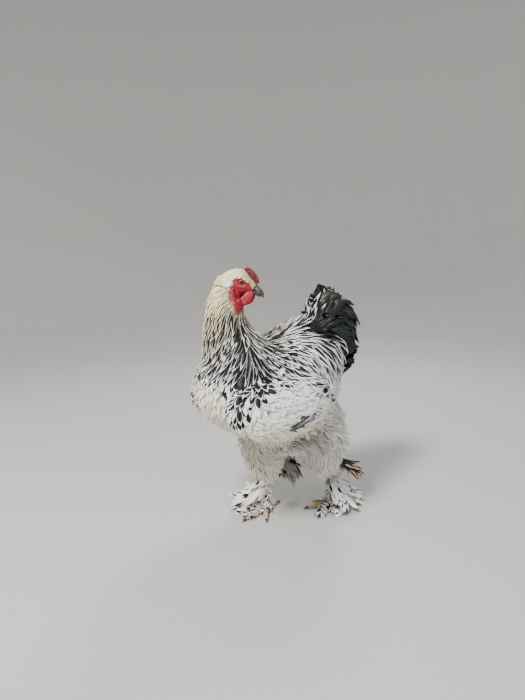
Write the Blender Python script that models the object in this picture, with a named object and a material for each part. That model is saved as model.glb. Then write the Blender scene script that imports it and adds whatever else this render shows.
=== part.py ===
"""A life-size still model of a Light Brahma cock, standing with its head turned over its left shoulder.

Metres, +Z up. The bird faces -Y and its left side is +X. The origin is on the floor, under the
middle of the whole outline. Each solid runs out to the tips of the feathers that it stands for.
"""

import math

import bpy
import bmesh
from mathutils import Matrix, Vector

# Driving dimensions
GAP = 0.0003
CUTTERS = {}

# Where the feet stand, and the height of the sole's middle
SIDES = (("left", 1), ("right", -1))
LEGS = {
    "right": {
        "pad": Vector((-0.022, -0.087, 0.010)),
        "hock": Vector((-0.034, -0.066, 0.092)),
        "heading": 20.0,
        "thigh": [
            (-0.052, -0.085, 0.270, 0.050, 0.056, 0.056),
            (-0.051, -0.083, 0.215, 0.056, 0.064, 0.060),
            (-0.046, -0.079, 0.165, 0.052, 0.060, 0.056),
            (-0.042, -0.077, 0.125, 0.046, 0.054, 0.050),
            (-0.038, -0.075, 0.095, 0.034, 0.038, 0.036),
            (-0.033, -0.073, 0.072, 0.018, 0.020, 0.020),
        ],
        "tuft": [
            (-0.040, -0.050, 0.140, 0.014, 0.016, 0.016),
            (-0.042, -0.026, 0.112, 0.024, 0.034, 0.032),
            (-0.042, 0.000, 0.082, 0.022, 0.036, 0.032),
            (-0.041, 0.024, 0.046, 0.010, 0.014, 0.014),
        ],
        "boot": [
            (0.006, 0.012, 0.078, 0.016, 0.012, 0.012),
            (0.014, -0.006, 0.058, 0.032, 0.020, 0.020),
            (0.034, -0.028, 0.034, 0.048, 0.020, 0.028),
            (0.054, -0.046, 0.019, 0.048, 0.012, 0.016),
            (0.070, -0.058, 0.011, 0.026, 0.006, 0.008),
        ],
        "boot_side": (0.66, -0.75, 0.0),
    },
    "left": {
        "pad": Vector((0.042, 0.071, 0.010)),
        "hock": Vector((0.043, 0.084, 0.096)),
        "heading": 34.0,
        "thigh": [
            (0.060, -0.005, 0.260, 0.048, 0.056, 0.056),
            (0.060, 0.018, 0.220, 0.056, 0.066, 0.062),
            (0.053, 0.036, 0.178, 0.056, 0.066, 0.062),
            (0.044, 0.044, 0.142, 0.050, 0.058, 0.058),
            (0.042, 0.058, 0.118, 0.034, 0.044, 0.044),
            (0.042, 0.074, 0.100, 0.016, 0.020, 0.020),
        ],
        "tuft": [
            (0.046, 0.088, 0.128, 0.014, 0.014, 0.014),
            (0.051, 0.112, 0.107, 0.022, 0.018, 0.018),
            (0.056, 0.142, 0.086, 0.022, 0.016, 0.016),
            (0.059, 0.160, 0.072, 0.010, 0.008, 0.008),
        ],
        "boot": [
            (-0.002, 0.012, 0.078, 0.016, 0.012, 0.012),
            (0.012, 0.014, 0.058, 0.036, 0.020, 0.020),
            (0.030, 0.026, 0.034, 0.060, 0.020, 0.028),
            (0.048, 0.036, 0.018, 0.070, 0.013, 0.016),
            (0.062, 0.042, 0.011, 0.044, 0.006, 0.008),
        ],
        "boot_side": (-0.50, 0.86, 0.0),
    },
}
PAD_RADIUS = 0.016
BOOT_CLEARANCE = 0.002
TOE_RADIUS = 0.0072
TOE_LENGTHS = {"middle": 0.066, "inner": 0.050, "outer": 0.052, "hind": 0.030}
TOE_SPREADS = {"middle": 0.0, "inner": 40.0, "outer": -34.0, "hind": 172.0}
CLAW_LENGTH = 0.013
CLAW_RADIUS = 0.0036
# Along a toe and a claw: the share of the length, and the radius and height as shares of the radius
TOE_SHAPE = ((0.0, 1.05, 0.90), (0.3, 0.95, 0.75), (0.6, 0.85, 0.70), (1.0, 0.58, 0.55))
CLAW_SHAPE = ((0.10, 0.90, 1.10), (0.35, 0.85, 1.20), (0.75, 0.55, 0.90), (1.0, 0.20, 0.30))

# The head: its middle, and the way the bill points
HEAD_MIDDLE = Vector((0.012, -0.176, 0.587))
HEAD_TURN = 133.0
HEAD_PITCH = -7.0
EYE_RADIUS = 0.0062
EYE_FORWARD = 0.0062
EYE_SIDE = 0.0165
EYE_UP = 0.0034

# Colours, as (red, green, blue), with roughness
CREAM = ((0.80, 0.76, 0.64), 0.80)
WHITE = ((0.78, 0.78, 0.76), 0.80)
STRIPED = ((0.42, 0.42, 0.40), 0.75)
BLACK = ((0.018, 0.022, 0.022), 0.45)
FLUFF = ((0.60, 0.58, 0.54), 0.90)
RED = ((0.55, 0.035, 0.040), 0.50)
HORN = ((0.22, 0.20, 0.17), 0.40)
YELLOW = ((0.62, 0.42, 0.20), 0.55)
IRIS = ((0.30, 0.10, 0.03), 0.12)


def clear_scene():
    for thing in list(bpy.data.objects):
        bpy.data.objects.remove(thing, do_unlink=True)


def make_material(name, finish):
    colour, roughness = finish
    material = bpy.data.materials.new(name)
    material.use_nodes = True
    shader = material.node_tree.nodes["Principled BSDF"]
    shader.inputs["Base Color"].default_value = (*colour, 1.0)
    shader.inputs["Roughness"].default_value = roughness
    shader.inputs["Metallic"].default_value = 0.0
    return material


def finish_mesh(name, mesh_data, finish):
    """Makes the faces flat triangles that point outwards, and adds the object with its own material."""
    bmesh.ops.triangulate(mesh_data, faces=mesh_data.faces)
    bmesh.ops.recalc_face_normals(mesh_data, faces=mesh_data.faces)
    mesh = bpy.data.meshes.new(name)
    mesh_data.to_mesh(mesh)
    mesh_data.free()
    mesh.shade_smooth()
    mesh.materials.append(make_material(name, finish))
    thing = bpy.data.objects.new(name, mesh)
    bpy.context.scene.collection.objects.link(thing)
    return thing


def blend_rows(rows, steps):
    """Rows of numbers on a smooth curve through the given ones, with `steps` spans between two of them."""
    blended = []
    last = len(rows) - 1
    for index in range(last):
        before = rows[max(index - 1, 0)]
        start, end = rows[index], rows[index + 1]
        after = rows[min(index + 2, last)]
        for step in range(steps):
            t = step / steps
            blended.append(tuple(
                b + 0.5 * t * ((c - a) + t * (2 * a - 5 * b + 4 * c - d + t * (3 * (b - c) + d - a)))
                for a, b, c, d in zip(before, start, end, after)
            ))
    blended.append(tuple(float(value) for value in rows[last]))
    return blended


def ring_points(middle, side, up, width, top, bottom, sides):
    """Points round one section: `width` to each side, `top` above the middle and `bottom` below it."""
    points = []
    for index in range(sides):
        angle = 2 * math.pi * (index + 0.5) / sides
        height = top if math.sin(angle) > 0 else bottom
        points.append(middle + side * (width * math.cos(angle)) + up * (height * math.sin(angle)))
    return points


def loft(name, rows, finish, sides=20, steps=3, side_hint=(1, 0, 0), up_hint=(0, 0, 1), lowest=None):
    """A closed solid round a spine. Each row is x, y, z, half width, height above and depth below."""
    stations = blend_rows(rows, steps)
    middles = [Vector(row[:3]) for row in stations]
    mesh_data = bmesh.new()
    rings = []
    up = Vector(up_hint)
    for index, row in enumerate(stations):
        ahead = middles[min(index + 1, len(middles) - 1)]
        behind = middles[max(index - 1, 0)]
        along = (ahead - behind).normalized()
        side = Vector(side_hint)
        side = (side - along * side.dot(along)).normalized()
        across = side.cross(along)
        up = across if across.dot(up) > 0 else -across
        sizes = [max(value, 0.0006) for value in row[3:6]]
        points = ring_points(middles[index], side, up, *sizes, sides)
        rings.append([mesh_data.verts.new(point) for point in points])
    for first, second in zip(rings, rings[1:]):
        for index in range(sides):
            after = (index + 1) % sides
            mesh_data.faces.new((first[index], first[after], second[after], second[index]))
    mesh_data.faces.new(list(reversed(rings[0])))
    mesh_data.faces.new(rings[-1])
    if lowest is not None:
        for vertex in mesh_data.verts:
            vertex.co.z = max(vertex.co.z, lowest)
    return finish_mesh(name, mesh_data, finish)


def ball(name, middle, axes, sizes, finish, rows=10, sides=14):
    """An egg-shaped solid with its half sizes along three axes."""
    mesh_data = bmesh.new()
    bmesh.ops.create_uvsphere(mesh_data, u_segments=sides, v_segments=rows, radius=1.0)
    turn = Matrix((axes[0] * sizes[0], axes[1] * sizes[1], axes[2] * sizes[2])).transposed()
    for vertex in mesh_data.verts:
        vertex.co = middle + turn @ vertex.co
    return finish_mesh(name, mesh_data, finish)


def grown_copy(thing, gap):
    """A hidden cutter: the solid's own shape, larger all round by the gap."""
    mesh = thing.data.copy()
    normals = [vertex.normal.copy() for vertex in mesh.vertices]
    for vertex, normal in zip(mesh.vertices, normals):
        vertex.co += normal * gap
    cutter = bpy.data.objects.new(thing.name + "_cutter", mesh)
    bpy.context.scene.collection.objects.link(cutter)
    cutter.hide_render = True
    cutter.display_type = "WIRE"
    return cutter


def part_from(thing, *neighbours):
    """Takes the neighbours' room, and a thin gap round it, out of a solid."""
    for neighbour in neighbours:
        cut = thing.modifiers.new("part from " + neighbour.name, "BOOLEAN")
        cut.operation = "DIFFERENCE"
        cut.solver = "EXACT"
        if neighbour.name not in CUTTERS:
            CUTTERS[neighbour.name] = grown_copy(neighbour, GAP)
        cut.object = CUTTERS[neighbour.name]


def head_axes():
    """The head's own axes: forward along the bill, to the head's left, and up."""
    turn = math.radians(HEAD_TURN)
    pitch = math.radians(HEAD_PITCH)
    level = Vector((math.sin(turn), -math.cos(turn), 0.0))
    forward = level * math.cos(pitch) + Vector((0, 0, math.sin(pitch)))
    left = Vector((0, 0, 1)).cross(level)
    return forward, left, forward.cross(left)


def on_head(forward, left, up):
    """A point given in the head's own axes."""
    axes = head_axes()
    return HEAD_MIDDLE + axes[0] * forward + axes[1] * left + axes[2] * up


def head_rows(rows):
    """Rows given in the head's axes as forward, up, half width, top and bottom."""
    return [(*on_head(forward, 0.0, up), *sizes) for forward, up, *sizes in rows]


def make_head():
    """The skull with its short feathers, and the bare face."""
    rows = head_rows([
        (-0.046, -0.012, 0.004, 0.004, 0.004),
        (-0.041, -0.010, 0.018, 0.018, 0.018),
        (-0.022, -0.003, 0.0235, 0.029, 0.030),
        (0.000, 0.000, 0.0225, 0.031, 0.031),
        (0.017, -0.002, 0.0175, 0.024, 0.023),
        (0.029, -0.006, 0.0125, 0.015, 0.015),
        (0.036, -0.009, 0.0085, 0.009, 0.009),
    ])
    return loft("head", rows, CREAM, sides=14, steps=2, side_hint=head_axes()[1])


def make_beak():
    """A short stout bill: the upper half hooks over the lower."""
    upper = head_rows([
        (0.022, -0.004, 0.0088, 0.0078, 0.0060),
        (0.036, -0.006, 0.0085, 0.0070, 0.0045),
        (0.045, -0.011, 0.0065, 0.0055, 0.0040),
        (0.053, -0.018, 0.0036, 0.0040, 0.0040),
        (0.057, -0.025, 0.0010, 0.0014, 0.0014),
    ])
    lower = head_rows([
        (0.026, -0.015, 0.0075, 0.0040, 0.0050),
        (0.037, -0.017, 0.0065, 0.0030, 0.0045),
        (0.047, -0.022, 0.0034, 0.0020, 0.0026),
        (0.050, -0.0245, 0.0012, 0.0010, 0.0012),
    ])
    left = head_axes()[1]
    return (
        loft("beak_upper", upper, HORN, sides=10, steps=1, side_hint=left),
        loft("beak_lower", lower, HORN, sides=8, steps=1, side_hint=left),
    )


def make_comb():
    """A low pea comb on the brow, from the bill's root back over the crown."""
    rows = head_rows([
        (0.040, 0.003, 0.0030, 0.003, 0.004),
        (0.037, 0.008, 0.0070, 0.006, 0.008),
        (0.030, 0.018, 0.0085, 0.007, 0.012),
        (0.021, 0.026, 0.0080, 0.007, 0.012),
        (0.011, 0.031, 0.0050, 0.006, 0.008),
        (0.006, 0.032, 0.0015, 0.002, 0.003),
    ])
    return loft("comb", rows, RED, sides=10, steps=1, side_hint=head_axes()[1])


def make_eye(side, sign):
    middle = on_head(EYE_FORWARD, sign * EYE_SIDE, EYE_UP)
    sizes = (EYE_RADIUS, EYE_RADIUS, EYE_RADIUS)
    return ball("eye_" + side, middle, head_axes(), sizes, IRIS, rows=6, sides=8)


def make_wattle(side, sign):
    """A short rounded wattle that hangs from the jaw."""
    rows = [
        (*on_head(0.030, sign * 0.006, -0.016), 0.0025, 0.006, 0.006),
        (*on_head(0.026, sign * 0.009, -0.023), 0.0040, 0.011, 0.011),
        (*on_head(0.021, sign * 0.011, -0.033), 0.0042, 0.012, 0.012),
        (*on_head(0.016, sign * 0.012, -0.043), 0.0034, 0.008, 0.008),
        (*on_head(0.013, sign * 0.012, -0.048), 0.0012, 0.002, 0.002),
    ]
    return loft("wattle_" + side, rows, RED, sides=10, steps=1, side_hint=head_axes()[1])


def make_earlobe(side, sign):
    """A long narrow lobe behind the cheek."""
    rows = [
        (*on_head(-0.012, sign * 0.020, -0.002), 0.0020, 0.003, 0.003),
        (*on_head(-0.013, sign * 0.0225, -0.010), 0.0050, 0.006, 0.006),
        (*on_head(-0.010, sign * 0.023, -0.024), 0.0055, 0.007, 0.007),
        (*on_head(-0.005, sign * 0.021, -0.040), 0.0040, 0.005, 0.005),
        (*on_head(-0.002, sign * 0.020, -0.048), 0.0012, 0.002, 0.002),
    ]
    return loft("earlobe_" + side, rows, RED, sides=8, steps=1, side_hint=head_axes()[1])


def make_neck():
    """The neck with its hackle, widening into the cape on the shoulders."""
    rows = [
        (-0.016, -0.205, 0.602, 0.012, 0.012, 0.014),
        (-0.012, -0.206, 0.580, 0.024, 0.026, 0.028),
        (-0.005, -0.208, 0.556, 0.034, 0.037, 0.038),
        (0.000, -0.209, 0.526, 0.044, 0.047, 0.048),
        (0.000, -0.206, 0.488, 0.056, 0.055, 0.056),
        (0.000, -0.199, 0.450, 0.076, 0.074, 0.062),
        (0.000, -0.188, 0.415, 0.100, 0.094, 0.074),
        (0.000, -0.176, 0.385, 0.108, 0.100, 0.082),
    ]
    return loft("neck", rows, STRIPED, sides=18, steps=2, up_hint=(0, 1, 0))


def make_trunk():
    """Breast, back and the high cushion of the saddle."""
    rows = [
        (0, -0.277, 0.362, 0.018, 0.020, 0.018),
        (0, -0.269, 0.361, 0.052, 0.053, 0.042),
        (0, -0.244, 0.354, 0.083, 0.086, 0.072),
        (0, -0.198, 0.342, 0.110, 0.109, 0.102),
        (0, -0.140, 0.335, 0.125, 0.120, 0.125),
        (0, -0.070, 0.335, 0.128, 0.134, 0.136),
        (0, -0.005, 0.339, 0.119, 0.154, 0.128),
        (0, 0.040, 0.344, 0.098, 0.158, 0.104),
        (0, 0.074, 0.350, 0.068, 0.138, 0.076),
        (0, 0.092, 0.356, 0.034, 0.096, 0.048),
        (0, 0.100, 0.362, 0.008, 0.040, 0.020),
    ]
    return loft("trunk", rows, WHITE, sides=20, steps=2)


def make_abdomen():
    """The soft fluff under and behind the body."""
    rows = [
        (0, -0.120, 0.225, 0.050, 0.040, 0.030),
        (0, -0.080, 0.218, 0.092, 0.070, 0.056),
        (0, -0.010, 0.224, 0.106, 0.080, 0.070),
        (0, 0.050, 0.240, 0.098, 0.076, 0.082),
        (0, 0.088, 0.250, 0.072, 0.058, 0.080),
        (0, 0.110, 0.252, 0.024, 0.026, 0.042),
    ]
    return loft("abdomen", rows, FLUFF, sides=16, steps=1)


def make_tail():
    """The main tail, set high and carried upright, as level sections from its drooping end to its top."""
    rows = [
        (0, 0.132, 0.372, 0.012, 0.010, 0.010),
        (0, 0.130, 0.396, 0.036, 0.024, 0.028),
        (0, 0.122, 0.430, 0.052, 0.042, 0.044),
        (0, 0.106, 0.468, 0.056, 0.064, 0.062),
        (0, 0.094, 0.506, 0.052, 0.072, 0.074),
        (0, 0.096, 0.538, 0.036, 0.056, 0.064),
        (0, 0.102, 0.556, 0.020, 0.034, 0.036),
        (0, 0.108, 0.563, 0.006, 0.012, 0.012),
    ]
    return loft("tail_main", rows, BLACK, sides=14, steps=2, up_hint=(0, 1, 0))


def make_covert(side, sign):
    """The lesser tail coverts, lying over the tail's root on one side."""
    rows = [
        (sign * 0.034, 0.034, 0.500, 0.010, 0.014, 0.014),
        (sign * 0.052, 0.058, 0.484, 0.022, 0.036, 0.036),
        (sign * 0.059, 0.086, 0.450, 0.022, 0.042, 0.042),
        (sign * 0.056, 0.110, 0.412, 0.016, 0.030, 0.030),
        (sign * 0.050, 0.122, 0.384, 0.006, 0.010, 0.010),
    ]
    return loft("tail_covert_" + side, rows, BLACK, sides=12, steps=1)


def make_wing(side, sign):
    """The folded wing: shoulder, coverts and the rounded line of the flight feathers."""
    rows = [
        (sign * 0.076, -0.250, 0.316, 0.010, 0.016, 0.016),
        (sign * 0.096, -0.237, 0.315, 0.024, 0.048, 0.048),
        (sign * 0.114, -0.190, 0.310, 0.026, 0.066, 0.070),
        (sign * 0.126, -0.130, 0.308, 0.027, 0.070, 0.074),
        (sign * 0.131, -0.075, 0.313, 0.024, 0.066, 0.064),
        (sign * 0.129, -0.032, 0.322, 0.018, 0.052, 0.048),
        (sign * 0.124, -0.006, 0.326, 0.010, 0.032, 0.030),
        (sign * 0.121, 0.004, 0.327, 0.004, 0.012, 0.012),
    ]
    return loft("wing_" + side, rows, WHITE, sides=16, steps=1)


def make_wing_tip(side, sign):
    """The ends of the flight feathers, showing past the coverts."""
    rows = [
        (sign * 0.120, -0.040, 0.320, 0.006, 0.032, 0.030),
        (sign * 0.118, -0.008, 0.322, 0.007, 0.034, 0.030),
        (sign * 0.113, 0.012, 0.322, 0.006, 0.027, 0.024),
        (sign * 0.108, 0.026, 0.322, 0.003, 0.012, 0.010),
    ]
    return loft("wing_tip_" + side, rows, BLACK, sides=8, steps=1)


def make_saddle(side, sign):
    """The saddle feathers that sweep down over the rump to the wing's end."""
    rows = [
        (sign * 0.060, -0.060, 0.436, 0.012, 0.020, 0.020),
        (sign * 0.084, -0.030, 0.426, 0.024, 0.044, 0.046),
        (sign * 0.092, 0.006, 0.406, 0.026, 0.054, 0.058),
        (sign * 0.085, 0.038, 0.380, 0.022, 0.046, 0.048),
        (sign * 0.074, 0.060, 0.356, 0.012, 0.024, 0.024),
        (sign * 0.068, 0.068, 0.346, 0.004, 0.006, 0.006),
    ]
    return loft("saddle_" + side, rows, STRIPED, sides=10, steps=1)


def make_thigh(side, rows):
    """The feathered thigh, wide above and drawn in at the hock."""
    return loft("thigh_" + side, rows, FLUFF, sides=12, steps=1, up_hint=(0, 1, 0))


def make_hock_tuft(side, rows):
    """The stiff feathers that point back from the hock."""
    return loft("hock_tuft_" + side, rows, FLUFF, sides=8, steps=1)


def make_shank(side, hock, pad):
    above = Vector((0, 0, 0.030))
    rows = [
        (*(hock + above), 0.009, 0.011, 0.011),
        (*hock, 0.010, 0.012, 0.012),
        (*(hock * 0.55 + pad * 0.45), 0.0085, 0.0095, 0.0095),
        (*(pad + above * 0.4), 0.010, 0.011, 0.011),
        (*(pad + above * 0.1), 0.010, 0.011, 0.011),
    ]
    return loft("shank_" + side, rows, YELLOW, sides=8, steps=1, up_hint=(0, 1, 0))


def make_pad(side, pad):
    """The ball of the foot, flat where it rests."""
    middle = Vector((pad.x, pad.y, PAD_RADIUS * 0.5))
    axes = (Vector((1, 0, 0)), Vector((0, 1, 0)), Vector((0, 0, 1)))
    solid = ball("foot_" + side, middle, axes, (PAD_RADIUS, PAD_RADIUS, PAD_RADIUS * 0.8), YELLOW, rows=8, sides=12)
    for vertex in solid.data.vertices:
        vertex.co.z = max(vertex.co.z, 0.0)
    return solid


def make_toe(side, toe, start, direction):
    """One toe, flat under the pads, and the claw at its end."""
    length = TOE_LENGTHS[toe]
    radius = TOE_RADIUS * (0.8 if toe == "hind" else 1.0)
    across = Vector((-direction.y, direction.x, 0.0))
    rows = []
    for share, size, height in TOE_SHAPE:
        point = start + direction * (length * share)
        rows.append((point.x, point.y, radius * height, *[radius * size] * 3))
    solid = loft(f"toe_{toe}_{side}", rows, YELLOW, sides=8, steps=1, side_hint=across, lowest=0.0)
    rows = []
    for share, size, height in CLAW_SHAPE:
        point = start + direction * (length + CLAW_LENGTH * share)
        rows.append((point.x, point.y, CLAW_RADIUS * height, *[CLAW_RADIUS * size] * 3))
    claw = loft(f"claw_{toe}_{side}", rows, HORN, sides=6, steps=1, side_hint=across, lowest=0.0)
    return solid, claw


def make_toes(side, sign, pad, heading, ball_of_foot):
    """The four toes, spread round the ball of the foot, and parted from it and from the middle toe."""
    pieces = []
    for toe, spread in TOE_SPREADS.items():
        angle = math.radians(heading - sign * spread)
        direction = Vector((math.sin(angle), -math.cos(angle), 0.0))
        start = Vector((pad.x, pad.y, 0.0)) + direction * (PAD_RADIUS * 0.8)
        solid, claw = make_toe(side, toe, start, direction)
        part_from(solid, ball_of_foot, *pieces[:1])
        pieces += [solid, claw]
    return pieces


def make_boot(side, sign, pad, reaches, across):
    """The feathers on the outer side of the shank and foot, from near the hock out to the floor."""
    rows = [
        (pad.x + sign * out, pad.y + back, height, width, rise, drop)
        for out, back, height, width, rise, drop in reaches
    ]
    return loft("boot_" + side, rows, WHITE, sides=12, steps=2, side_hint=across, lowest=BOOT_CLEARANCE)


def centre_on_origin():
    """Moves every solid, and its cutters, so that the middle of the whole outline stands on the origin."""
    bpy.context.view_layer.update()
    graph = bpy.context.evaluated_depsgraph_get()
    corners = [
        vertex.co.copy()
        for thing in bpy.data.objects if not thing.hide_render
        for vertex in thing.evaluated_get(graph).data.vertices
    ]
    middle = [(min(c[axis] for c in corners) + max(c[axis] for c in corners)) / 2 for axis in (0, 1)]
    shift = Matrix.Translation((-middle[0], -middle[1], 0.0))
    for thing in bpy.data.objects:
        thing.data.transform(shift)


def build():
    clear_scene()
    head = make_head()
    beak_upper, beak_lower = make_beak()
    comb = make_comb()
    neck = make_neck()
    trunk = make_trunk()
    abdomen = make_abdomen()
    tail = make_tail()
    part_from(beak_lower, beak_upper)
    part_from(comb, beak_upper)
    part_from(head, comb, beak_lower, beak_upper)
    part_from(neck, head, trunk)
    part_from(abdomen, trunk)
    part_from(tail, trunk)
    for side, sign in SIDES:
        eye = make_eye(side, sign)
        part_from(head, eye)
        part_from(make_wattle(side, sign), head, neck, beak_lower)
        part_from(make_earlobe(side, sign), head, neck)
        wing = make_wing(side, sign)
        saddle = make_saddle(side, sign)
        covert = make_covert(side, sign)
        wing_tip = make_wing_tip(side, sign)
        part_from(wing, trunk, neck)
        part_from(saddle, trunk, wing, tail)
        part_from(covert, trunk, tail, saddle)
        part_from(wing_tip, trunk, wing, saddle, covert)
        part_from(abdomen, wing, wing_tip, saddle)
        leg = LEGS[side]
        pad, hock = leg["pad"], leg["hock"]
        shank = make_shank(side, hock, pad)
        ball_of_foot = make_pad(side, pad)
        part_from(ball_of_foot, shank)
        toes = make_toes(side, sign, pad, leg["heading"], ball_of_foot)
        thigh = make_thigh(side, leg["thigh"])
        part_from(thigh, shank, trunk, abdomen, wing, wing_tip)
        tuft = make_hock_tuft(side, leg["tuft"])
        part_from(tuft, shank, thigh, abdomen)
        boot = make_boot(side, sign, pad, leg["boot"], leg["boot_side"])
        part_from(boot, shank, thigh, tuft, ball_of_foot, *toes)
    centre_on_origin()


build()
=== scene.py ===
"""The finish of the Light Brahma cock: one skin, eyes, bill, claws and feathers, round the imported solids.

Metres, +Z up. The bird faces -Y and its left side is +X. Feathers are thin closed vanes, laid along the
skin by tables of how the coat lies, and joined in one mesh for each part of the coat.
"""

import math

import bpy
import bmesh
import numpy as np
from mathutils import Matrix, Vector
from mathutils.bvhtree import BVHTree
from mathutils.kdtree import KDTree


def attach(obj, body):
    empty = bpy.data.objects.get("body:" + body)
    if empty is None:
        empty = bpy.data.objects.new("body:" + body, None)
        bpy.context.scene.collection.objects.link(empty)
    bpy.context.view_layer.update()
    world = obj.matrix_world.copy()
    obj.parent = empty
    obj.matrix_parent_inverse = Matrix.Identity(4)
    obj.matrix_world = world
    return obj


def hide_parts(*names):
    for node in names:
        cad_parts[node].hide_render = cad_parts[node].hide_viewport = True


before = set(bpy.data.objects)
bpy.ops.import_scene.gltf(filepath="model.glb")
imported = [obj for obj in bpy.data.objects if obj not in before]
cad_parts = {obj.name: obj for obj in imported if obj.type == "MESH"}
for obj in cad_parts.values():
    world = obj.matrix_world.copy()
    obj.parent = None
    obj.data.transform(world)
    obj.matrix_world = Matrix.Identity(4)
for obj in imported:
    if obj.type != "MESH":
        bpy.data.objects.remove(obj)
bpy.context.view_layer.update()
CHANCE = np.random.default_rng(11)

# The head: its middle, its turn over the left shoulder, and the eyes, in the head's own axes
HEAD_MIDDLE = np.array((0.012, -0.1207, 0.587))
HEAD_TURN = math.radians(133.0)
HEAD_PITCH = math.radians(-7.0)
EYE_FORWARD = 0.0062
EYE_SIDE = 0.0165
EYE_UP = 0.0034
EYE_RADIUS = 0.0062
EYE_AHEAD = 0.26
LID_LENGTH = 0.0048
LID_HEIGHT = 0.0031

# Grain of the skin's mesh, in metres
BODY_VOXEL = 0.0042
HEAD_VOXEL = 0.0010
LEG_VOXEL = 0.00145
BILL_VOXEL = 0.0007
CLAW_VOXEL = 0.0006

# How far solids are swollen before they are merged, in metres
SWELL = 0.0004
BILL_SWELL = 0.0007
CLAW_SWELL = 0.0001

# Feathers: their roots' depth in the skin, their height over the floor, and each one's patch in the baked map
ROOT_DEPTH = 0.0005
FLOOR_GAP = 0.0006
BAKE_PATCH = 0.003

# Depth of the coat over the skin, for each kind of solid
COAT_DEPTH = {
    "head": 0.0022, "neck": 0.0080, "trunk": 0.0100, "abdomen": 0.0120, "tail_main": 0.0200,
    "tail_covert": 0.0150, "saddle": 0.0090, "wing": 0.0090, "thigh": 0.0130, "shank": 0.0012,
}

# Colours of the plumage and the bare parts, as linear red, green and blue
CREAM = np.array((0.84, 0.74, 0.47))
WHITE = np.array((0.86, 0.86, 0.86))
IVORY = np.array((0.85, 0.81, 0.70))
BLUISH = np.array((0.50, 0.55, 0.62))
SMOKE = np.array((0.60, 0.58, 0.55))
# Painted shade for the down just under the wings
SHADE = np.array((0.24, 0.22, 0.21))
BLACK = np.array((0.007, 0.008, 0.010))
UMBER = np.array((0.030, 0.018, 0.015))
BUFF = np.array((0.72, 0.55, 0.42))

# Colours inside the materials: face, feet, eye, horn, the stripe, shaft and tail feathers, and the floor
RED_DEEP = (0.24, 0.007, 0.016, 1)
RED_BRIGHT = (0.42, 0.018, 0.034, 1)
# Painted shade: maroon for the face's creases, the rims round the eyes and the grooves between the comb's
# beads, and the deeper red at the face's rear
RED_MAROON_AND_SHADE = (0.050, 0.002, 0.007, 1)
# Pinks for the face's ridges, partly their own paler colour and partly painted highlight, and for the comb's
# beads, whose pale tops are painted highlight
PINK_DEEP = (0.44, 0.07, 0.08, 1)
PINK_PALE = (0.42, 0.19, 0.16, 1)
PEBBLE_PINK = (0.75, 0.22, 0.25, 1)
TOE_YELLOW = (0.58, 0.40, 0.17, 1)
TOE_PALE = (0.62, 0.48, 0.32, 1)
TOE_GROOVE = (0.28, 0.15, 0.08, 1)
PORE_GREY = (0.16, 0.13, 0.12, 1)
IRIS_DARK = (0.11, 0.028, 0.008, 1)
IRIS_LIGHT = (0.30, 0.095, 0.024, 1)
IRIS_RIM = (0.10, 0.030, 0.012, 1)
EYE_WHITE = (0.16, 0.07, 0.05, 1)
PUPIL = (0.002, 0.002, 0.002, 1)
HORN_DARK = (0.014, 0.013, 0.012, 1)
HORN_LIGHT = (0.085, 0.075, 0.065, 1)
HORN_WORN = (0.20, 0.17, 0.14, 1)
STRIPE_WORN = (0.016, 0.017, 0.020, 1)
# Paler shaft along each vane: partly its own colour, partly a painted highlight
SHAFT_PALE_AND_HIGHLIGHT = (1.25, 1.20, 1.10, 1)
TAIL_BLACK = (0.008, 0.015, 0.014, 1)
# Painted green sheen for the black tail feathers
TAIL_PAINTED_SHEEN = (0.30, 1.60, 1.25, 1)
FLOOR_DARK = (0.47, 0.465, 0.45, 1)
FLOOR_LIGHT = (0.52, 0.515, 0.50, 1)


def sided(*names):
    return [f"{name}_{side}" for name in names for side in ("left", "right")]


HEAD_FLESH = ["head", "comb", *sided("wattle", "earlobe")]
BODY_FLESH = ["neck", "trunk", "abdomen", "tail_main", *sided("tail_covert", "saddle", "wing", "thigh")]
LEG_FLESH = sided("shank", "foot", "toe_middle", "toe_inner", "toe_outer", "toe_hind")


def unit(vectors):
    return vectors / np.maximum(np.linalg.norm(vectors, axis=-1, keepdims=True), 1e-9)


def smooth_step(low, high, values):
    share = np.clip((values - low) / (high - low), 0.0, 1.0)
    return share * share * (3 - 2 * share)


def mixed(first, second, share):
    share = np.asarray(share)[..., None]
    return first * (1 - share) + second * share


def ripple(points, length, shift=0.0):
    """A smooth number between -1 and 1 that rises and falls over space, about once in each length."""
    x, y, z = (points * (2 * math.pi / length)).T
    first = np.sin(0.83 * x + 1.6 * np.sin(0.7 * z + shift) + shift)
    second = np.sin(0.91 * y + 0.56 * z + 1.3 * np.sin(0.6 * x) + 2 * shift)
    return (first + second) / 2


def head_axes():
    """Forward along the bill, to the head's left, and up, as rows."""
    level = np.array((math.sin(HEAD_TURN), -math.cos(HEAD_TURN), 0.0))
    forward = level * math.cos(HEAD_PITCH) + np.array((0, 0, math.sin(HEAD_PITCH)))
    left = np.cross((0, 0, 1), level)
    return np.array((forward, left, np.cross(forward, left)))


HEAD_AXES = head_axes()


def on_head(forward, left, up):
    return HEAD_MIDDLE + np.array((forward, left, up)) @ HEAD_AXES


def in_head(points):
    """Forward, left and up of each point, from the head's middle."""
    return ((points - HEAD_MIDDLE) @ HEAD_AXES.T).T


# Meshes

def deselect():
    bpy.ops.object.select_all(action="DESELECT")


def make_active(thing):
    deselect()
    thing.select_set(True)
    bpy.context.view_layer.objects.active = thing


def link(name, data):
    """A new object in the scene, with a mesh, lamp or camera of its own."""
    thing = bpy.data.objects.new(name, data)
    bpy.context.scene.collection.objects.link(thing)
    return thing


def read_points(mesh, what="co"):
    values = np.empty(len(mesh.vertices) * 3, np.float32)
    mesh.vertices.foreach_get(what, values)
    return values.reshape(-1, 3).astype(float)


def write_points(mesh, points):
    mesh.vertices.foreach_set("co", np.asarray(points, np.float32).ravel())
    mesh.update()


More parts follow.
